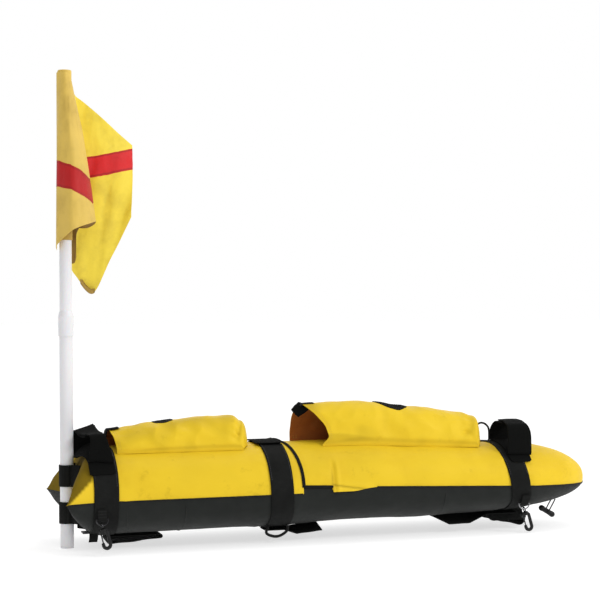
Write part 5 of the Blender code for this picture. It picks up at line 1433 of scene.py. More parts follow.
def on_pocket(spec, x, y, proud):
    """Point of the pocket's outer face above a place, a little proud of it."""
    start, end = spec[0], spec[1]
    share = clamp((x - start) / (end - start))
    mouth = clamp(1.0 - (x - start) / POCKET_MOUTH_REACH)
    power = POCKET_POWER + (POCKET_MOUTH_POWER - POCKET_POWER) * mouth
    turn = math.acos(math.copysign(clamp(abs(y) / POCKET_HALF_WIDTH) ** (power / 2), y))
    point, out = pocket_face(spec, share, turn)
    return point + out * (POCKET_THICKNESS + proud), out


POCKET_END_START_SHARE = 0.94
POCKET_END_ROWS = 14


def pocket_shares():
    """Shares along a pocket's length, closer together at its rounded end."""
    even = [i / POCKET_STEPS * POCKET_END_START_SHARE for i in range(POCKET_STEPS)]
    left = 1.0 - POCKET_END_START_SHARE
    return even + [POCKET_END_START_SHARE + left * math.sin(math.pi / 2 * i / POCKET_END_ROWS)
                   for i in range(POCKET_END_ROWS + 1)]


# Painted shade of the pockets: in folds, at the rounded end, along the foot and in the front wedge.
FOLD_PAINTED_SHADE = 0.42
END_PAINTED_SHADE = 0.26
BASE_PAINTED_SHADE = 0.20
WEDGE_PAINTED_SHADE = 0.20
WEDGE_LENGTH_SHARE = 0.40


def pocket_painted_shade(spec, share, turn, point):
    """Share of painted shade: in random patches for the shade of folds, at the rounded end, along the
    foot and, on the front pocket's near side, in a wedge that runs back from the mouth."""
    up = math.sin(turn)
    patch = noise.noise(Vector((point.x * 22.0, point.y * 16.0, point.z * 22.0 + 9.0)))
    streak = noise.noise(Vector((share * 160.0, up * 9.0, 2.0)))
    end = hump(share - 0.955, 0.022) * ease(up * 3.0 - 0.5) * (0.6 + 0.4 * streak)
    base = hump(up - 0.07, 0.035) * ease((share - 0.06) * 5.0) * BASE_PAINTED_SHADE
    wedge = 1.0 - share / WEDGE_LENGTH_SHARE
    if spec is FRONT_POCKET and turn > math.pi / 2 and wedge > 0.0:
        base += WEDGE_PAINTED_SHADE * ease(wedge * 2.5) * ease((0.10 + 0.22 * wedge - up) / 0.05) * ease(up / 0.06)
    return clamp(max(0.0, patch - 0.12) * FOLD_PAINTED_SHADE + end * END_PAINTED_SHADE + base)


def make_pocket(which, spec):
    turns = [math.pi * i / POCKET_STEPS for i in range(POCKET_STEPS + 1)]
    rows = [[pocket_point(spec, share, turn, True) for turn in turns] for share in pocket_shares()]
    tones = [[pocket_painted_shade(spec, share, turn, point) for turn, point in zip(turns, row)]
             for share, row in zip(pocket_shares(), rows)]
    # The inner faces take the brown of painted shade.
    piece = cloth(which + "_pocket_cloth", rows, POCKET_THICKNESS, [yellow_cloth, pocket_inside_shade],
                  edge=FINE_EDGE, parted=True, tones=tones)
    settle(piece, "hull", "yellow fabric", which + "_pocket")


make_pocket("rear", REAR_POCKET)
make_pocket("front", FRONT_POCKET)

PATCH_STEPS = 48
PATCH_THREAD_STEPS = 72
PATCH_THICKNESS = 0.0009
PATCH_SEAT = 0.0004
PATCH_THREAD_LIFT = 0.0010


def circle_on_pocket(spec, x, y, radius, steps, count, proud):
    """Places and directions on a circle over the pocket's outer face."""
    turns = [2 * math.pi * i / steps for i in range(count)]
    return [on_pocket(spec, x + radius * math.cos(turn), y + radius * math.sin(turn), proud)
            for turn in turns]


def make_pocket_patch(which, spec, x, y, radius):
    """Plain round patch, sewn on the top of the pocket with two rows of thread."""
    rows = []
    for share in (0.02, 0.25, 0.5, 0.75, 0.9, 1.0):
        ring = circle_on_pocket(spec, x, y, radius * share, PATCH_STEPS, PATCH_STEPS, PATCH_SEAT)
        rows.append([point for point, out in ring])
    strap_piece(which + "_pocket_patch", rows, PATCH_THICKNESS, pile, wrap=True, side=0.0, edge=FINE_EDGE)
    for ring, share in (("inner", 0.80), ("outer", 0.93)):
        spots = circle_on_pocket(spec, x, y, radius * share, PATCH_THREAD_STEPS, PATCH_THREAD_STEPS + 1,
                                 PATCH_THREAD_LIFT)
        points, ups = zip(*spots)
        row = stitch_row(which + "_patch_" + ring + "_stitches", points, ups, grey_thread)
        settle(row, "hull", "black webbing")


make_pocket_patch("front", FRONT_POCKET, x=0.121, y=-0.004, radius=0.034)
make_pocket_patch("rear", REAR_POCKET, x=-0.334, y=-0.002, radius=0.020)


def make_pocket_stitching(which, spec):
    for row, share in (("mouth_first", 0.020), ("mouth_second", 0.034)):
        points = []
        ups = []
        for i in range(3, POCKET_STEPS - 2):
            point, out = pocket_face(spec, share, math.pi * i / POCKET_STEPS)
            points.append(point + out * POCKET_THICKNESS)
            ups.append(out)
        stitches = stitch_row(which + "_pocket_" + row + "_stitches", points, ups, yellow_thread)
        settle(stitches, "hull", "yellow fabric")


make_pocket_stitching("rear", REAR_POCKET)
make_pocket_stitching("front", FRONT_POCKET)

# Tabs of pile tape on the mouths. The rear one hangs over the lip: each row has its
# place ahead of the lip, as a share of the overhang where it is past it, and its drop.

REAR_TAB_OVERHANG = 0.006
REAR_TAB_WIDTH = 0.030
REAR_TAB_STEPS = 12
REAR_TAB_LIFT = POCKET_THICKNESS + STRAP_SEAT
REAR_TAB_ROWS = ((0.018, 0.0), (0.012, 0.0), (0.006, 0.0), (0.0, 0.0),
                 (-REAR_TAB_OVERHANG * 0.35, 0.0004), (-REAR_TAB_OVERHANG * 0.7, 0.0035),
                 (-REAR_TAB_OVERHANG * 0.9, 0.0085), (-REAR_TAB_OVERHANG, 0.014))
FRONT_TAB_CORNERS = (Vector((-0.0615, 0.010, 0.2590)), Vector((-0.0440, -0.018, 0.2490)),
                     Vector((-0.0680, -0.010, 0.2310)), Vector((-0.0760, 0.012, 0.2440)))
FRONT_TAB_STEPS = 12
FRONT_TAB_THICKNESS = 0.0036
FRONT_TAB_EDGE = 0.0012
FRONT_TAB_BULGE = Vector((-0.35, -0.75, 0.35)) * 0.0045
FRONT_TAB_WAVE = 0.0012
FRONT_ROOT_WIDTH = 0.024
FRONT_ROOT_STEPS = 8
FRONT_ROOT_SEAT = 0.0006
FRONT_ROOT_ROWS = ((0.024, 0.0), (0.016, 0.0), (0.008, 0.0), (0.001, 0.0), (-0.003, -0.004))


def make_rear_mouth_tab():
    start, end = REAR_POCKET[0], REAR_POCKET[1]
    rows = []
    for ahead, drop in REAR_TAB_ROWS:
        line = []
        for i in range(REAR_TAB_STEPS + 1):
            turn = math.acos(REAR_TAB_WIDTH * (0.5 - i / REAR_TAB_STEPS) / POCKET_HALF_WIDTH)
            top = pocket_point(REAR_POCKET, clamp(ahead / (end - start)), turn)
            line.append(Vector((start + ahead, top.y, top.z + REAR_TAB_LIFT - drop)))
        rows.append(line)
    strap_piece("rear_mouth_tab_pile", rows, NARROW_WEBBING_THICKNESS, pile, "rear_pocket_tab", side=-1.0,
                edge=FINE_EDGE)


def make_front_mouth_tab():
    """Thick folded tab of pile tape that hangs over the lip into the open mouth."""
    rows = []
    for i in range(FRONT_TAB_STEPS + 1):
        s = i / FRONT_TAB_STEPS
        line = []
        for j in range(FRONT_TAB_STEPS + 1):
            t = j / FRONT_TAB_STEPS
            top = FRONT_TAB_CORNERS[0].lerp(FRONT_TAB_CORNERS[1], t)
            low = FRONT_TAB_CORNERS[3].lerp(FRONT_TAB_CORNERS[2], t)
            round_off = (1.0 - (2 * s - 1) ** 4) * (1.0 - (2 * t - 1) ** 4)
            point = top.lerp(low, s) + FRONT_TAB_BULGE * round_off
            point.z += noise.noise(Vector((s * 3.0, t * 3.0, 4.0))) * FRONT_TAB_WAVE
            line.append(point)
        rows.append(line)
    strap_piece("front_mouth_tab_pile", rows, FRONT_TAB_THICKNESS, pile, "front_pocket_tab", side=0.0,
                edge=FRONT_TAB_EDGE)


def make_front_tab_root():
    """Webbing that holds the folded tab, laid down behind the lip."""
    lip = FRONT_POCKET[0]
    rows = []
    for ahead, rise in FRONT_ROOT_ROWS:
        line = []
        for i in range(FRONT_ROOT_STEPS + 1):
            y = FRONT_ROOT_WIDTH * (0.5 - i / FRONT_ROOT_STEPS)
            top = on_pocket(FRONT_POCKET, lip + max(ahead, 0.0), y, FRONT_ROOT_SEAT)[0]
            line.append(Vector((lip + ahead, top.y, top.z + rise)))
        rows.append(line)
    strap_piece("front_mouth_tab_root", rows, NARROW_WEBBING_THICKNESS, webbing, side=-1.0, edge=FINE_EDGE)


make_rear_mouth_tab()
make_front_mouth_tab()
make_front_tab_root()

# Rings of strap on top.

RING_NEAR_Y = -0.099
RING_CORNER = 0.018
RING_FOOT_CORNER = RING_CORNER * 0.5
RING_FLAP_LIFT = 0.0036
RING_FLAP_REACH = RING_CORNER * 1.9
RING_FLAP_END = RING_CORNER * 1.6
RING_TOP_END = RING_CORNER * 2.2
RING_ROWS = 15
RING_WALL_STEPS = 8
RING_FLOOR_STEPS = 18


def ring_wall(y, low, high, upwards):
    """Points of a ring's upright wall, between its corners."""
    shares = [i / RING_WALL_STEPS for i in range(1, RING_WALL_STEPS)]
    return [(y, low + (high - low) * (share if upwards else 1.0 - share)) for share in shares]


def ring_section(x, far_y, top):
    """Section of a ring: flap, near wall, floor on the hull, far wall and top."""
    stack = strap_stack() + SEAT
    foot = RING_FOOT_CORNER
    near_floor = hull_top(x, RING_NEAR_Y + RING_CORNER * 0.4, stack) + foot
    far_floor = hull_top(x, far_y, stack) + foot
    shoulder = top - RING_CORNER
    flap_start = far_y - RING_FLAP_END
    flap_length = flap_start - (RING_NEAR_Y + RING_FLAP_REACH)
    pairs = [(flap_start - flap_length * i / 8, top + RING_FLAP_LIFT) for i in range(9)]
    pairs += arc(RING_NEAR_Y + RING_CORNER, shoulder, RING_CORNER, 90, 180, 12)
    pairs += ring_wall(RING_NEAR_Y, near_floor, shoulder, upwards=False)
    pairs += arc(RING_NEAR_Y + foot, near_floor, foot, 180, 230, 6)
    floor_start = RING_NEAR_Y + foot
    floor_length = far_y - foot - floor_start
    pairs += [(y, hull_top(x, y, stack)) for y in even_places(floor_start, floor_length, RING_FLOOR_STEPS)]
    pairs += arc(far_y - foot, far_floor, foot, -50, 0, 6)
    pairs += ring_wall(far_y, far_floor, shoulder, upwards=True)
    pairs += arc(far_y - RING_CORNER, shoulder, RING_CORNER, 0, 90, 12)
    last = pairs[-1][0]
    top_length = RING_NEAR_Y + RING_TOP_END - last
    return pairs + [(last + top_length * i / 6, top) for i in range(1, 7)]


REAR_RING_FOOT_Z = 0.172
REAR_RING_HEIGHT = 0.045
REAR_RING_DEPTH = 0.133
REAR_RING_PINCH_Z = 0.205
REAR_RING_PINCH = 0.012
REAR_RING_CREASE = 0.0042
FRONT_RING_FOOT_Z = 0.170
FRONT_RING_HEIGHT = 0.049
FRONT_RING_DEPTH = 0.105
FRONT_RING_CREASE = 0.0016


def rear_ring_form(point, side):
    """The rear ring stands limp: its far side leans back and its top is pinched."""
    x, y, z = point
    height = clamp((z - REAR_RING_FOOT_Z) / REAR_RING_HEIGHT)
    far = clamp((y - RING_NEAR_Y) / REAR_RING_DEPTH)
    rise = ease(height * 2.0)
    rear = (1 - side) / 2
    front = (1 + side) / 2
    shift = far * (-0.0125 * rear - 0.0195 * height * front)
    shift += (1.0 - far) * height * (-0.0150 * front + 0.0035 * rear)
    crease = noise.noise(Vector((x * 30.0, y * 22.0, z * 30.0))) * REAR_RING_CREASE * rise
    dip = math.sin(math.pi * far) * height * REAR_RING_PINCH if z > REAR_RING_PINCH_Z else 0.0
    dip += ease(far * 4.0 - 3.0) * (1.0 - rise) * 0.009 * rear
    return Vector((x + shift, y + crease * 0.7,
                   z + far * height * (0.0065 * side + 0.006) - dip + crease * 0.35))


def front_ring_form(point, side):
    """The front ring stands rounder, narrower at its top than at its foot."""
    x, y, z = point
    height = clamp((z - FRONT_RING_FOOT_Z) / FRONT_RING_HEIGHT)
    far = clamp((y - RING_NEAR_Y) / FRONT_RING_DEPTH)
    rear = (1 - side) / 2
    front = (1 + side) / 2
    shift = rear * (0.0125 * height ** 3 * far - 0.0045 * (1.0 - far))
    shift += front * (0.0070 * far - 0.0110 * height ** 3 * (1.0 - far))
    crease = noise.noise(Vector((x * 25.0, y * 18.0, z * 25.0 + 3.0))) * FRONT_RING_CREASE
    crease *= ease(height * 2.0)
    return Vector((x + shift, y + crease, z + crease * 0.5))


def make_ring(which, middle, far_y, top, form):
    rows = []
    for r in range(RING_ROWS):
        side = r / (RING_ROWS // 2) - 1.0
        x = middle + GUN_STRAP_WIDTH / 2 * side
        rows.append([form(Vector((x, y, z)), side) for y, z in ring_section(x, far_y, top)])
    strap_piece(which + "_ring_strap", rows, GUN_STRAP_THICKNESS, pile, which + "_gun_strap", side=-1.0,
                edge=EDGE)


make_ring("front", 0.360, 0.006, 0.2135, front_ring_form)
make_ring("rear", -0.465, 0.034, 0.221, rear_ring_form)

RING_FOOT_HALF_WIDTH = 0.0235
RING_FOOT_ROWS = 11
RING_FOOT_STEPS = 12
RING_FOOT_LEAN = 0.002
RING_FOOT_SEAT = 0.0052
RING_FOOT_RISE = 0.0014
RING_FOOT_CORNER_SHARE = 0.7
RING_FOOT_CORNER_TURN = math.radians(2.5)


def make_ring_foot(which, middle, first, last, flare):
    """End of the ring's near side, laid down over the strap below it."""
    rows = []
    for r in range(RING_FOOT_ROWS):
        side = r / (RING_FOOT_ROWS // 2) - 1.0
        past = max(0.0, (abs(side) - RING_FOOT_CORNER_SHARE) / (1.0 - RING_FOOT_CORNER_SHARE))
        line = []
        for i in range(RING_FOOT_STEPS + 1):
            t = i / RING_FOOT_STEPS
            turn = math.radians(first + (last - first) * t) - RING_FOOT_CORNER_TURN * past ** 2 * t
            x = middle + side * RING_FOOT_HALF_WIDTH * (1.0 + flare * t) + RING_FOOT_LEAN * t
            line.append(hull_point(x, turn, -RING_FOOT_SEAT - RING_FOOT_RISE * (1.0 - t)))
        rows.append(line)
    strap_piece(which + "_ring_foot", rows, GUN_STRAP_THICKNESS, pile, side=-1.0, edge=EDGE)


make_ring_foot("front", 0.3570, first=138, last=151, flare=-0.05)
make_ring_foot("rear", -0.4655, first=134, last=153, flare=0.04)

# Pieces that take their form from the frame's own node, with merged corners,
# rounded edges and a finished face.

DRESS_EDGE = 0.0004
HOOK_GROWTH = 0.0015
TOGGLE_GROWTH = 0.0013


def dress_node(name, node, body, look, slot, edge=0.0, grow=0.0, form=None):
    mesh = bpy.data.objects[node].data.copy()
    mesh.name = name
    mesh.materials.clear()
    mesh.materials.append(look)
    shape = bmesh.new()
    shape.from_mesh(mesh)
    bmesh.ops.remove_doubles(shape, verts=shape.verts, dist=MERGE_DISTANCE)
    bmesh.ops.join_triangles(shape, faces=shape.faces, angle_face_threshold=math.radians(8),
                             angle_shape_threshold=math.radians(60))
    if form:
        for vert in shape.verts:
            vert.co = form(vert.co)
    if grow:
        shape.normal_update()
        for vert, move in [(vert, vert.normal * grow) for vert in shape.verts]:
            vert.co += move
    shape.to_mesh(mesh)
    shape.free()
    piece = new_object(name, mesh)
    if edge:
        round_edges(piece, edge)
    smooth_over(piece)
    settle(piece, body, slot, node)


def drawn_up(point):
    """The bladder's underside, drawn up at mid-length as the cover over it is."""
    if point.z >= SEAM_HEIGHT:
        return point
    return Vector((point.x, point.y, SEAM_HEIGHT + (point.z - SEAM_HEIGHT) * belly(point.x)))


for node in ("upper_pole_loop", "lower_pole_loop", "rear_ring_tab", "front_ring_tab"):
    dress_node(node + "_webbing", node, "hull", object_webbing, "black webbing", edge=DRESS_EDGE)
for node in ("rear_hook", "front_hook"):
    dress_node(node + "_body", node, node, black_plastic, "black plastic", grow=HOOK_GROWTH)
dress_node("nose_toggle_body", "nose_toggle", "nose_toggle", black_plastic, "black plastic",
           grow=TOGGLE_GROWTH)
dress_node("bladder_film", "bladder", "hull", film, "bladder film", form=drawn_up)

# Lift hoop in front of the forward pocket.

HOOP_PATCH_START = 0.2990
HOOP_PATCH_LENGTH = 0.0400
HOOP_PATCH_HALF_WIDTH = 0.0125
HOOP_PATCH_ROWS = 12
HOOP_PATCH_STEPS = 8
HOOP_PATCH_WALL_SHARE = 0.7
HOOP_REAR_X = 0.3045
HOOP_FRONT_X = 0.3345
HOOP_CORD_RADIUS = 0.0020
HOOP_CORD_STEPS = 16
HOOP_CORD_SPACING = 0.0015
HOOP_BUMP = 0.0016
HOOP_TOP_POINTS = ((0.3075, 0.0006, 0.2025), (0.3145, 0.0010, 0.2082), (0.3215, 0.0010, 0.2088),
                   (0.3290, 0.0006, 0.2052), (0.3345, 0.0, 0.1965))


def make_hoop_patch():
    rows = []
    for x in even_places(HOOP_PATCH_START, HOOP_PATCH_LENGTH, HOOP_PATCH_ROWS):
        feet = hump(x - HOOP_REAR_X, 0.003) + hump(x - HOOP_FRONT_X, 0.003)
        line = []
        for j in range(HOOP_PATCH_STEPS + 1):
            y = HOOP_PATCH_HALF_WIDTH * (1 - 2 * j / HOOP_PATCH_STEPS)
            line.append(Vector((x, y, hull_top(x, y) + SEAT + HOOP_BUMP * feet * hump(y, 0.004))))
        rows.append(line)
    strap_piece("lift_hoop_patch", rows, WEBBING_THICKNESS * HOOP_PATCH_WALL_SHARE, webbing, "lift_loop_base",
                edge=DRESS_EDGE)


def make_hoop_cord():
    """Cord hoop whose two feet are sewn under the patch."""
    rear, front = [hull_top(x, 0.0) + SEAT + WEBBING_THICKNESS for x in (HOOP_REAR_X, HOOP_FRONT_X)]
    spots = [Vector((HOOP_REAR_X, 0.0, rear)), Vector((HOOP_REAR_X - 0.0005, 0.0, rear + 0.008)),
             *[Vector(point) for point in HOOP_TOP_POINTS],
             Vector((HOOP_FRONT_X + 0.0007, 0.0, front + 0.006)), Vector((HOOP_FRONT_X, 0.0, front))]
    route = smooth_route(spots, HOOP_CORD_SPACING)
    aside = Vector((0.0, 1.0, 0.0))
    turns = [2 * math.pi * i / HOOP_CORD_STEPS for i in range(HOOP_CORD_STEPS)]
    rows = []
    for k, point in enumerate(route):
        ahead = (route[min(k + 1, len(route) - 1)] - route[max(k - 1, 0)]).normalized()
        up = ahead.cross(aside).normalized()
        rows.append([point + (aside * math.cos(turn) + up * math.sin(turn)) * HOOP_CORD_RADIUS
                     for turn in turns])
    piece = cloth("lift_hoop_cord", rows, 0.0, [cord_cover], wrap=True)
    settle(piece, "hull", "black plastic", "lift_loop")


make_hoop_patch()
make_hoop_cord()

# Loose ends of strap that lie folded inside the belly loops, and two that hang free.

FOLD_STEPS = 16
FOLD_ROWS = 8
FOLD_WAVE = 0.0008
FRONT_FOLD_LENGTH = 0.086
FRONT_FOLD_TOP_Y = -0.037
FRONT_FOLD_LOW_Y = -0.046
# Each has the y of its upper and lower edges, then x and both heights at its two ends.
REAR_FOLDS = {
    "outer": (-0.028, -0.036, (-0.446, 0.0300, 0.0170), (-0.352, 0.0275, 0.0215)),
    "inner": (-0.020, -0.027, (-0.452, 0.0420, 0.0300), (-0.398, 0.0330, 0.0235)),
}
LOOSE_END_STEPS = 24
LOOSE_END_X = -0.4835
LOOSE_END_Y = -0.060
LOOSE_END_Z = 0.0600
LOOSE_END_LENGTH = 0.0420
POLE_TAIL_START = -0.5015
POLE_TAIL_LENGTH = 0.030
POLE_TAIL_STEPS = 8


def strip_between(name, upper, lower):
    """Webbing between two lines of points, softly rippled."""
    rows = []
    for i in range(FOLD_ROWS + 1):
        t = i / FOLD_ROWS
        line = []
        for k, (a, b) in enumerate(zip(upper, lower)):
            point = a.lerp(b, t)
            point.y += noise.noise(Vector((k * 0.35, t * 3.0, len(name) * 1.0))) * FOLD_WAVE
            line.append(point)
        rows.append(line)
    strap_piece(name, rows, WEBBING_THICKNESS, webbing, side=0.0, edge=EDGE)


def make_front_fold():
    upper = []
    lower = []
    for i in range(FOLD_STEPS + 1):
        t = i / FOLD_STEPS
        x = FRONT_LOOP_START + FRONT_FOLD_LENGTH * t
        upper.append(Vector((x, FRONT_FOLD_TOP_Y, 0.0445 + 0.002 * t)))
        lower.append(Vector((x, FRONT_FOLD_LOW_Y, 0.0178 + 0.0240 * (1.0 - clamp(t * 4.0)) ** 2)))
    strip_between("front_belly_fold_webbing", upper, lower)


def make_rear_fold(which, high_y, low_y, first, last):
    upper = []
    lower = []
    for i in range(FOLD_STEPS + 1):
        x, high, low = [a + (b - a) * (i / FOLD_STEPS) for a, b in zip(first, last)]
        upper.append(Vector((x, high_y, high)))
        lower.append(Vector((x, low_y, low)))
    strip_between("rear_belly_fold_" + which + "_webbing", upper, lower)


def make_rear_loose_end():
    rows = []
    for i in range(LOOSE_END_STEPS + 1):
        t = i / LOOSE_END_STEPS
        x = LOOSE_END_X + 0.006 * math.sin(t * 2.6) + 0.004 * t
        y = LOOSE_END_Y - 0.006 * math.sin(t * 2.2)
        z = LOOSE_END_Z - LOOSE_END_LENGTH * t
        rows.append([Vector((x + NARROW_WEBBING_WIDTH * 0.5 * k / 4, y - 0.0012 * (k / 4) ** 2, z))
                     for k in range(-4, 5)])
    strap_piece("rear_strap_loose_end", rows, NARROW_WEBBING_THICKNESS, webbing, side=0.0, edge=FINE_EDGE)


def make_pole_loop_tail():
    upper = []
    lower = []
    for i in range(POLE_TAIL_STEPS + 1):
        x = POLE_TAIL_START + POLE_TAIL_LENGTH * i / POLE_TAIL_STEPS
        upper.append(Vector((x, -0.040, 0.0620 - 0.004 * i / POLE_TAIL_STEPS)))
        lower.append(Vector((x, -0.044, 0.0420 - 0.006 * i / POLE_TAIL_STEPS)))
    strip_between("lower_pole_loop_tail_webbing", upper, lower)


make_front_fold()
for which, places in REAR_FOLDS.items():
    make_rear_fold(which, *places)
make_rear_loose_end()
make_pole_loop_tail()

# Flag. Each column has its share along the fly and, for its top, middle and foot, the
# place ahead of the pole, beside it and above the flag's top, as shares of the height.

POLE_X = -0.514
FLAG_TOP = 0.884
FLAG_BOTTOM = 0.588
FLAG_HEIGHT = FLAG_TOP - FLAG_BOTTOM
FLAG_CLOTH_THICKNESS = 0.0008
FLAG_CLEAR_RADIUS = 0.0142
FLAG_COLUMN_SHARES = (
    (0.00, ((-0.048, 0.010, -0.004), (-0.050, 0.006, -0.500), (-0.054, 0.000, -1.120))),
    (0.06, ((-0.030, -0.048, -0.004), (-0.050, -0.062, -0.500), (-0.062, -0.090, -1.085))),
    (0.16, ((-0.006, -0.070, -0.006), (0.010, -0.130, -0.490), (0.022, -0.200, -1.000))),
    (0.30, ((0.024, -0.058, -0.022), (0.078, -0.110, -0.440), (0.124, -0.170, -0.960))),
    (0.40, ((0.042, -0.034, -0.080), (0.112, -0.040, -0.420), (0.180, -0.070, -0.940))),
    (0.45, ((0.052, -0.004, -0.118), (0.100, 0.010, -0.430), (0.110, 0.010, -0.960))),
    (0.50, ((0.070, 0.026, -0.140), (0.090, 0.060, -0.450), (0.073, 0.050, -1.020))),
    (0.525, ((0.086, 0.040, -0.152), (0.088, 0.074, -0.480), (0.070, 0.062, -1.185))),
    (0.58, ((0.118, 0.050, -0.172), (0.084, 0.090, -0.520), (0.034, 0.090, -1.205))),
    (0.70, ((0.205, 0.065, -0.238), (0.170, 0.110, -0.620), (0.082, 0.130, -1.275))),
    (0.80, ((0.280, 0.085, -0.298), (0.262, 0.115, -0.680), (0.190, 0.115, -1.385))),
    (0.90, ((0.360, 0.120, -0.362), (0.350, 0.125, -0.660), (0.305, 0.110, -1.165))),
    (1.00, ((0.458, 0.170, -0.432), (0.456, 0.150, -0.640), (0.438, 0.100, -0.900))),
)
# For places along the fly, the stripe's upper and lower edges as shares down the cloth.
STRIPE_EDGE_SHARES = (
    (0.00, 0.545, 0.68), (0.08, 0.56, 0.705), (0.16, 0.60, 0.755), (0.24, 0.655, 0.815),
    (0.30, 0.70, 0.85), (0.36, 0.75, 0.895), (0.40, 0.745, 0.885), (0.44, 0.595, 0.715),
    (0.50, 0.565, 0.67), (0.58, 0.505, 0.625), (0.64, 0.45, 0.585), (0.70, 0.385, 0.53),
    (0.76, 0.325, 0.48), (0.80, 0.29, 0.455), (0.85, 0.255, 0.445), (0.90, 0.215, 0.44),
    (0.95, 0.145, 0.42), (1.00, 0.05, 0.39))


def spline(points, value):
    """Point at a value on a smooth line through places given with their values."""
    last = len(points) - 2
    i = next((k for k in range(last) if value <= points[k + 1][0]), last)
    t = clamp((value - points[i][0]) / (points[i + 1][0] - points[i][0]))
    b = points[i][1]
    c = points[i + 1][1]
    a = points[i - 1][1] if i > 0 else b * 2 - c
    d = points[i + 2][1] if i < last else c * 2 - b
    return curve_point(a, b, c, d, t)


def flag_point(along, down):
    lines = []
    for level in range(3):
        column = [(share, Vector(spots[level])) for share, spots in FLAG_COLUMN_SHARES]
        lines.append(spline(column, along))
    shares = spline([(0.0, lines[0]), (0.5, lines[1]), (1.0, lines[2])], down)
    aside = Vector((shares.x, shares.y, 0.0)) * FLAG_HEIGHT
    if 0.0 < aside.length < FLAG_CLEAR_RADIUS:
        aside = aside.normalized() * FLAG_CLEAR_RADIUS
    return Vector((POLE_X, 0.0, FLAG_TOP + shares.z * FLAG_HEIGHT)) + aside


def stripe_edge(along, which):
    for low, high in zip(STRIPE_EDGE_SHARES, STRIPE_EDGE_SHARES[1:]):
        if along <= high[0]:
            return low[which] + (high[which] - low[which]) * (along - low[0]) / (high[0] - low[0])
    return STRIPE_EDGE_SHARES[-1][which]


FLAG_SOFT_FOLD = 0.0022
FLAG_FINE_FOLD = 0.0008
FLAG_FALL_FOLD = 0.0009


def flag_wrinkle(along, down):
    """Small folds of the thin cloth, in metres across the fly."""
    soft = noise.noise(Vector((along * 9.0, down * 5.0, 3.0))) * FLAG_SOFT_FOLD
    fine = noise.noise(Vector((along * 26.0, down * 9.0, 8.0))) * FLAG_FINE_FOLD
    fall = math.sin(along * 44.0 + down * 5.0) * FLAG_FALL_FOLD * ease(down * 1.5)
    return (soft + fine + fall) * ease(along * 6.0)


TURNED_THICKNESS = 0.0006
HEM_ROLL_START_SHARE = 0.19
HEM_ROLL_LENGTH_SHARE = 0.205
HEM_ROLL_DEPTH = 0.0082
HEM_ROLL_ROWS = 24
HEM_ROLL_STEPS = 6
HEM_ROLL_PAINTED_SHADE = 1.0
CURL_START_SHARE = 0.735
CURL_LENGTH_SHARE = 0.07
CURL_RADIUS = 0.0056
CURL_NARROWING = 0.0012
CURL_ROWS = 20
CURL_TURNS = [math.radians(turn) for turn in range(60, -241, -20)]
CURL_PAINTED_SHADE = 0.88


def turned_cloth(name, rows, tone):
    """Edge of the flag's cloth that is turned over, coloured in painted deep shade."""
    tones = [[tone] * len(row) for row in rows]
    piece = cloth(name, rows, TURNED_THICKNESS, [flag_cloth_look], side=0.0, tones=tones)
    settle(piece, "flag", "yellow fabric")
    return piece


def make_flag_hem():
    """Rolled hem of the near fold, seen from inside, in painted deep shade."""
    rows = []
    for i in range(HEM_ROLL_ROWS + 1):
        t = i / HEM_ROLL_ROWS
        edge = flag_point(HEM_ROLL_START_SHARE + HEM_ROLL_LENGTH_SHARE * t, 1.0)
        depth = HEM_ROLL_DEPTH * math.sin(math.pi * t) ** 0.7 + 0.0004
        rows.append([edge + Vector((0.0, 0.0012 + 0.0045 * math.sin(math.pi * s), 0.0018 - depth * s))
                     for s in [j / HEM_ROLL_STEPS for j in range(HEM_ROLL_STEPS + 1)]])
    return turned_cloth("flag_hem_inside", rows, HEM_ROLL_PAINTED_SHADE)


def make_flag_curl():
    """Curl at the cloth's lowest corner, in painted deep shade."""
    rows = []
    for i in range(CURL_ROWS + 1):
        t = i / CURL_ROWS
        radius = CURL_RADIUS - CURL_NARROWING * t
        edge = flag_point(CURL_START_SHARE + CURL_LENGTH_SHARE * t, 1.0)
        centre = edge + Vector((-0.0005, -0.0012 - radius, 0.0030))
        round_it = [(radius * math.cos(turn), radius * math.sin(turn)) for turn in CURL_TURNS]
        rows.append([centre + Vector((aside * 0.5, aside, up)) for aside, up in round_it])
    return turned_cloth("flag_corner_curl", rows, CURL_PAINTED_SHADE)


# Rows of the flag's cloth: each has its width (0 to 2, from the top) and its share down that width.

FLAG_COLUMNS = 150
STRIPE_FIRST_ROW = 34
STRIPE_LAST_ROW = 50
STRIPE_STEPS = STRIPE_LAST_ROW - STRIPE_FIRST_ROW
FLAG_FOOT_STEPS = 40
FLAG_LEVELS = ([(0, i / STRIPE_FIRST_ROW) for i in range(STRIPE_FIRST_ROW)]
               + [(1, i / STRIPE_STEPS) for i in range(STRIPE_STEPS)]
               + [(2, i / FLAG_FOOT_STEPS) for i in range(FLAG_FOOT_STEPS + 1)])
STRIPE_SEAM_ROWS = (STRIPE_FIRST_ROW + 1, STRIPE_LAST_ROW - 1)
STRIPE_SEAM_TONE = 0.85
NEAR_FLAP_PAINTED_SHADE = 0.5
FLAG_STITCH_PITCH = 0.0050


def flag_rows():
    rows = []
    for band, share in FLAG_LEVELS:
        line = []
        for c in range(FLAG_COLUMNS + 1):
            along = c / FLAG_COLUMNS
            edges = (0.0, stripe_edge(along, 1), stripe_edge(along, 2), 1.0)
            down = edges[band] + (edges[band + 1] - edges[band]) * share
            soft = flag_wrinkle(along, down)
            line.append(flag_point(along, down) + Vector((soft * 0.5, soft, 0.0)))
        rows.append(line)
    return rows


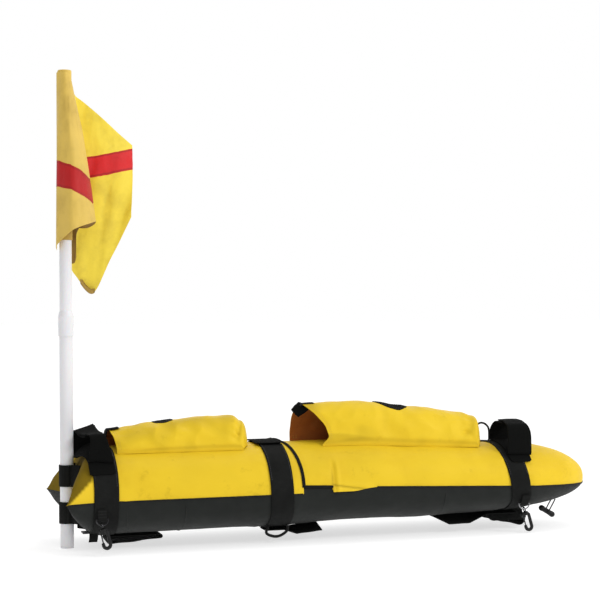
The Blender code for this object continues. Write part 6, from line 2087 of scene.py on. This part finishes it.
def flag_tones():
    """Shares of painted shade on the near flap and where the cloth is turned over; a dark line where sewn."""
    tones = []
    for r in range(len(FLAG_LEVELS)):
        low = ease((r - STRIPE_LAST_ROW) / 12)
        sewn = STRIPE_SEAM_TONE if r in STRIPE_SEAM_ROWS else 0.0
        line = []
        for c in range(FLAG_COLUMNS + 1):
            along = c / FLAG_COLUMNS
            # Painted shade on the near flap.
            near_flap_shade = NEAR_FLAP_PAINTED_SHADE * (1.0 - ease((along - 0.40) / 0.03))
            # Painted shade where the cloth is turned over behind the near flap.
            turned = ease((along - 0.45) / 0.02) * (1.0 - ease((along - 0.585) / 0.012)) * low
            line.append(max(near_flap_shade, turned, sewn))
        tones.append(line)
    return tones


def stitch_stripe(rows):
    """Two rows of thread along the stripe's edges, on both faces of the cloth."""
    columns = range(4, FLAG_COLUMNS - 2)
    for edge, row in (("top", STRIPE_FIRST_ROW), ("bottom", STRIPE_LAST_ROW)):
        for face, side in (("front", -1.0), ("back", 1.0)):
            ups = []
            for c in columns:
                along = rows[row][c + 1] - rows[row][c]
                down = rows[row + 1][c] - rows[row][c]
                ups.append(along.cross(down).normalized() * side)
            points = [rows[row][c] + up * (FLAG_CLOTH_THICKNESS / 2) for c, up in zip(columns, ups)]
            name = "flag_stripe_" + edge + "_" + face + "_stitches"
            settle(stitch_row(name, points, ups, yellow_thread, FLAG_STITCH_PITCH), "flag", "yellow fabric")


def make_flag():
    """One cloth: three sewn widths, hemmed, gathered round the pole and hanging."""
    rows = flag_rows()
    piece = cloth("flag_cloth", rows, FLAG_CLOTH_THICKNESS, [flag_cloth_look, red_cloth], side=0.0,
                  tones=flag_tones())
    mesh = piece.data
    grid = mesh.attributes["row_index"].data
    for face in mesh.polygons:
        row = sum(grid[i].value for i in face.vertices) / len(face.vertices)
        face.material_index = 1 if STRIPE_FIRST_ROW < row < STRIPE_LAST_ROW else 0
    curls = [make_flag_hem(), make_flag_curl()]
    settle(piece, "flag", "yellow fabric", "flag_upper_panel", "flag_stripe", "flag_lower_panel")
    stitch_stripe(rows)


make_flag()
dress_node("flag_sleeve_cloth", "flag_sleeve", "flag", sleeve_painted_shade, "yellow fabric")

SLEEVE_HEM_RADIUS = 0.0127
SLEEVE_HEM_TOP = FLAG_BOTTOM + 0.004
SLEEVE_HEM_LENGTH = 0.0205
SLEEVE_HEM_THICKNESS = 0.0007
SLEEVE_HEM_ROWS = 8
SLEEVE_HEM_STEPS = 48
SLEEVE_HEM_PAINTED_SHADE = 0.72


def make_sleeve_hem():
    """Hem of the sleeve, which hangs a little below the cloth round the pole; coloured in painted shade."""
    turns = [2 * math.pi * k / SLEEVE_HEM_STEPS for k in range(SLEEVE_HEM_STEPS)]
    rows = []
    for i in range(SLEEVE_HEM_ROWS + 1):
        z = SLEEVE_HEM_TOP - SLEEVE_HEM_LENGTH * i / SLEEVE_HEM_ROWS
        ring = [(SLEEVE_HEM_RADIUS * math.cos(turn), SLEEVE_HEM_RADIUS * math.sin(turn)) for turn in turns]
        rows.append([Vector((POLE_X + behind, aside, z)) for behind, aside in ring])
    tones = [[SLEEVE_HEM_PAINTED_SHADE] * SLEEVE_HEM_STEPS] * (SLEEVE_HEM_ROWS + 1)
    hem = cloth("flag_sleeve_hem", rows, SLEEVE_HEM_THICKNESS, [sleeve_painted_shade], wrap=True, side=0.0,
                tones=tones)
    settle(hem, "flag", "yellow fabric")


make_sleeve_hem()

# Nodes that keep their own shape and get a finished material.

NODE_LOOKS = (
    (tube_plastic, ("pole_foot", "lower_pole", "upper_pole")),
    (black_plastic, ("rear_slider", "middle_slider", "front_slider", "valve_body", "valve_cap")),
    (ring_metal, ("front_d_ring",)),
    (dark_metal, ("rear_d_ring", "rear_hook_eye", "front_hook_eye", "rear_hook_gate", "front_hook_gate")),
)

for look, nodes in NODE_LOOKS:
    for node in nodes:
        thing = bpy.data.objects[node]
        for place in thing.material_slots:
            place.material = look
        if not thing.material_slots:
            thing.data.materials.append(look)
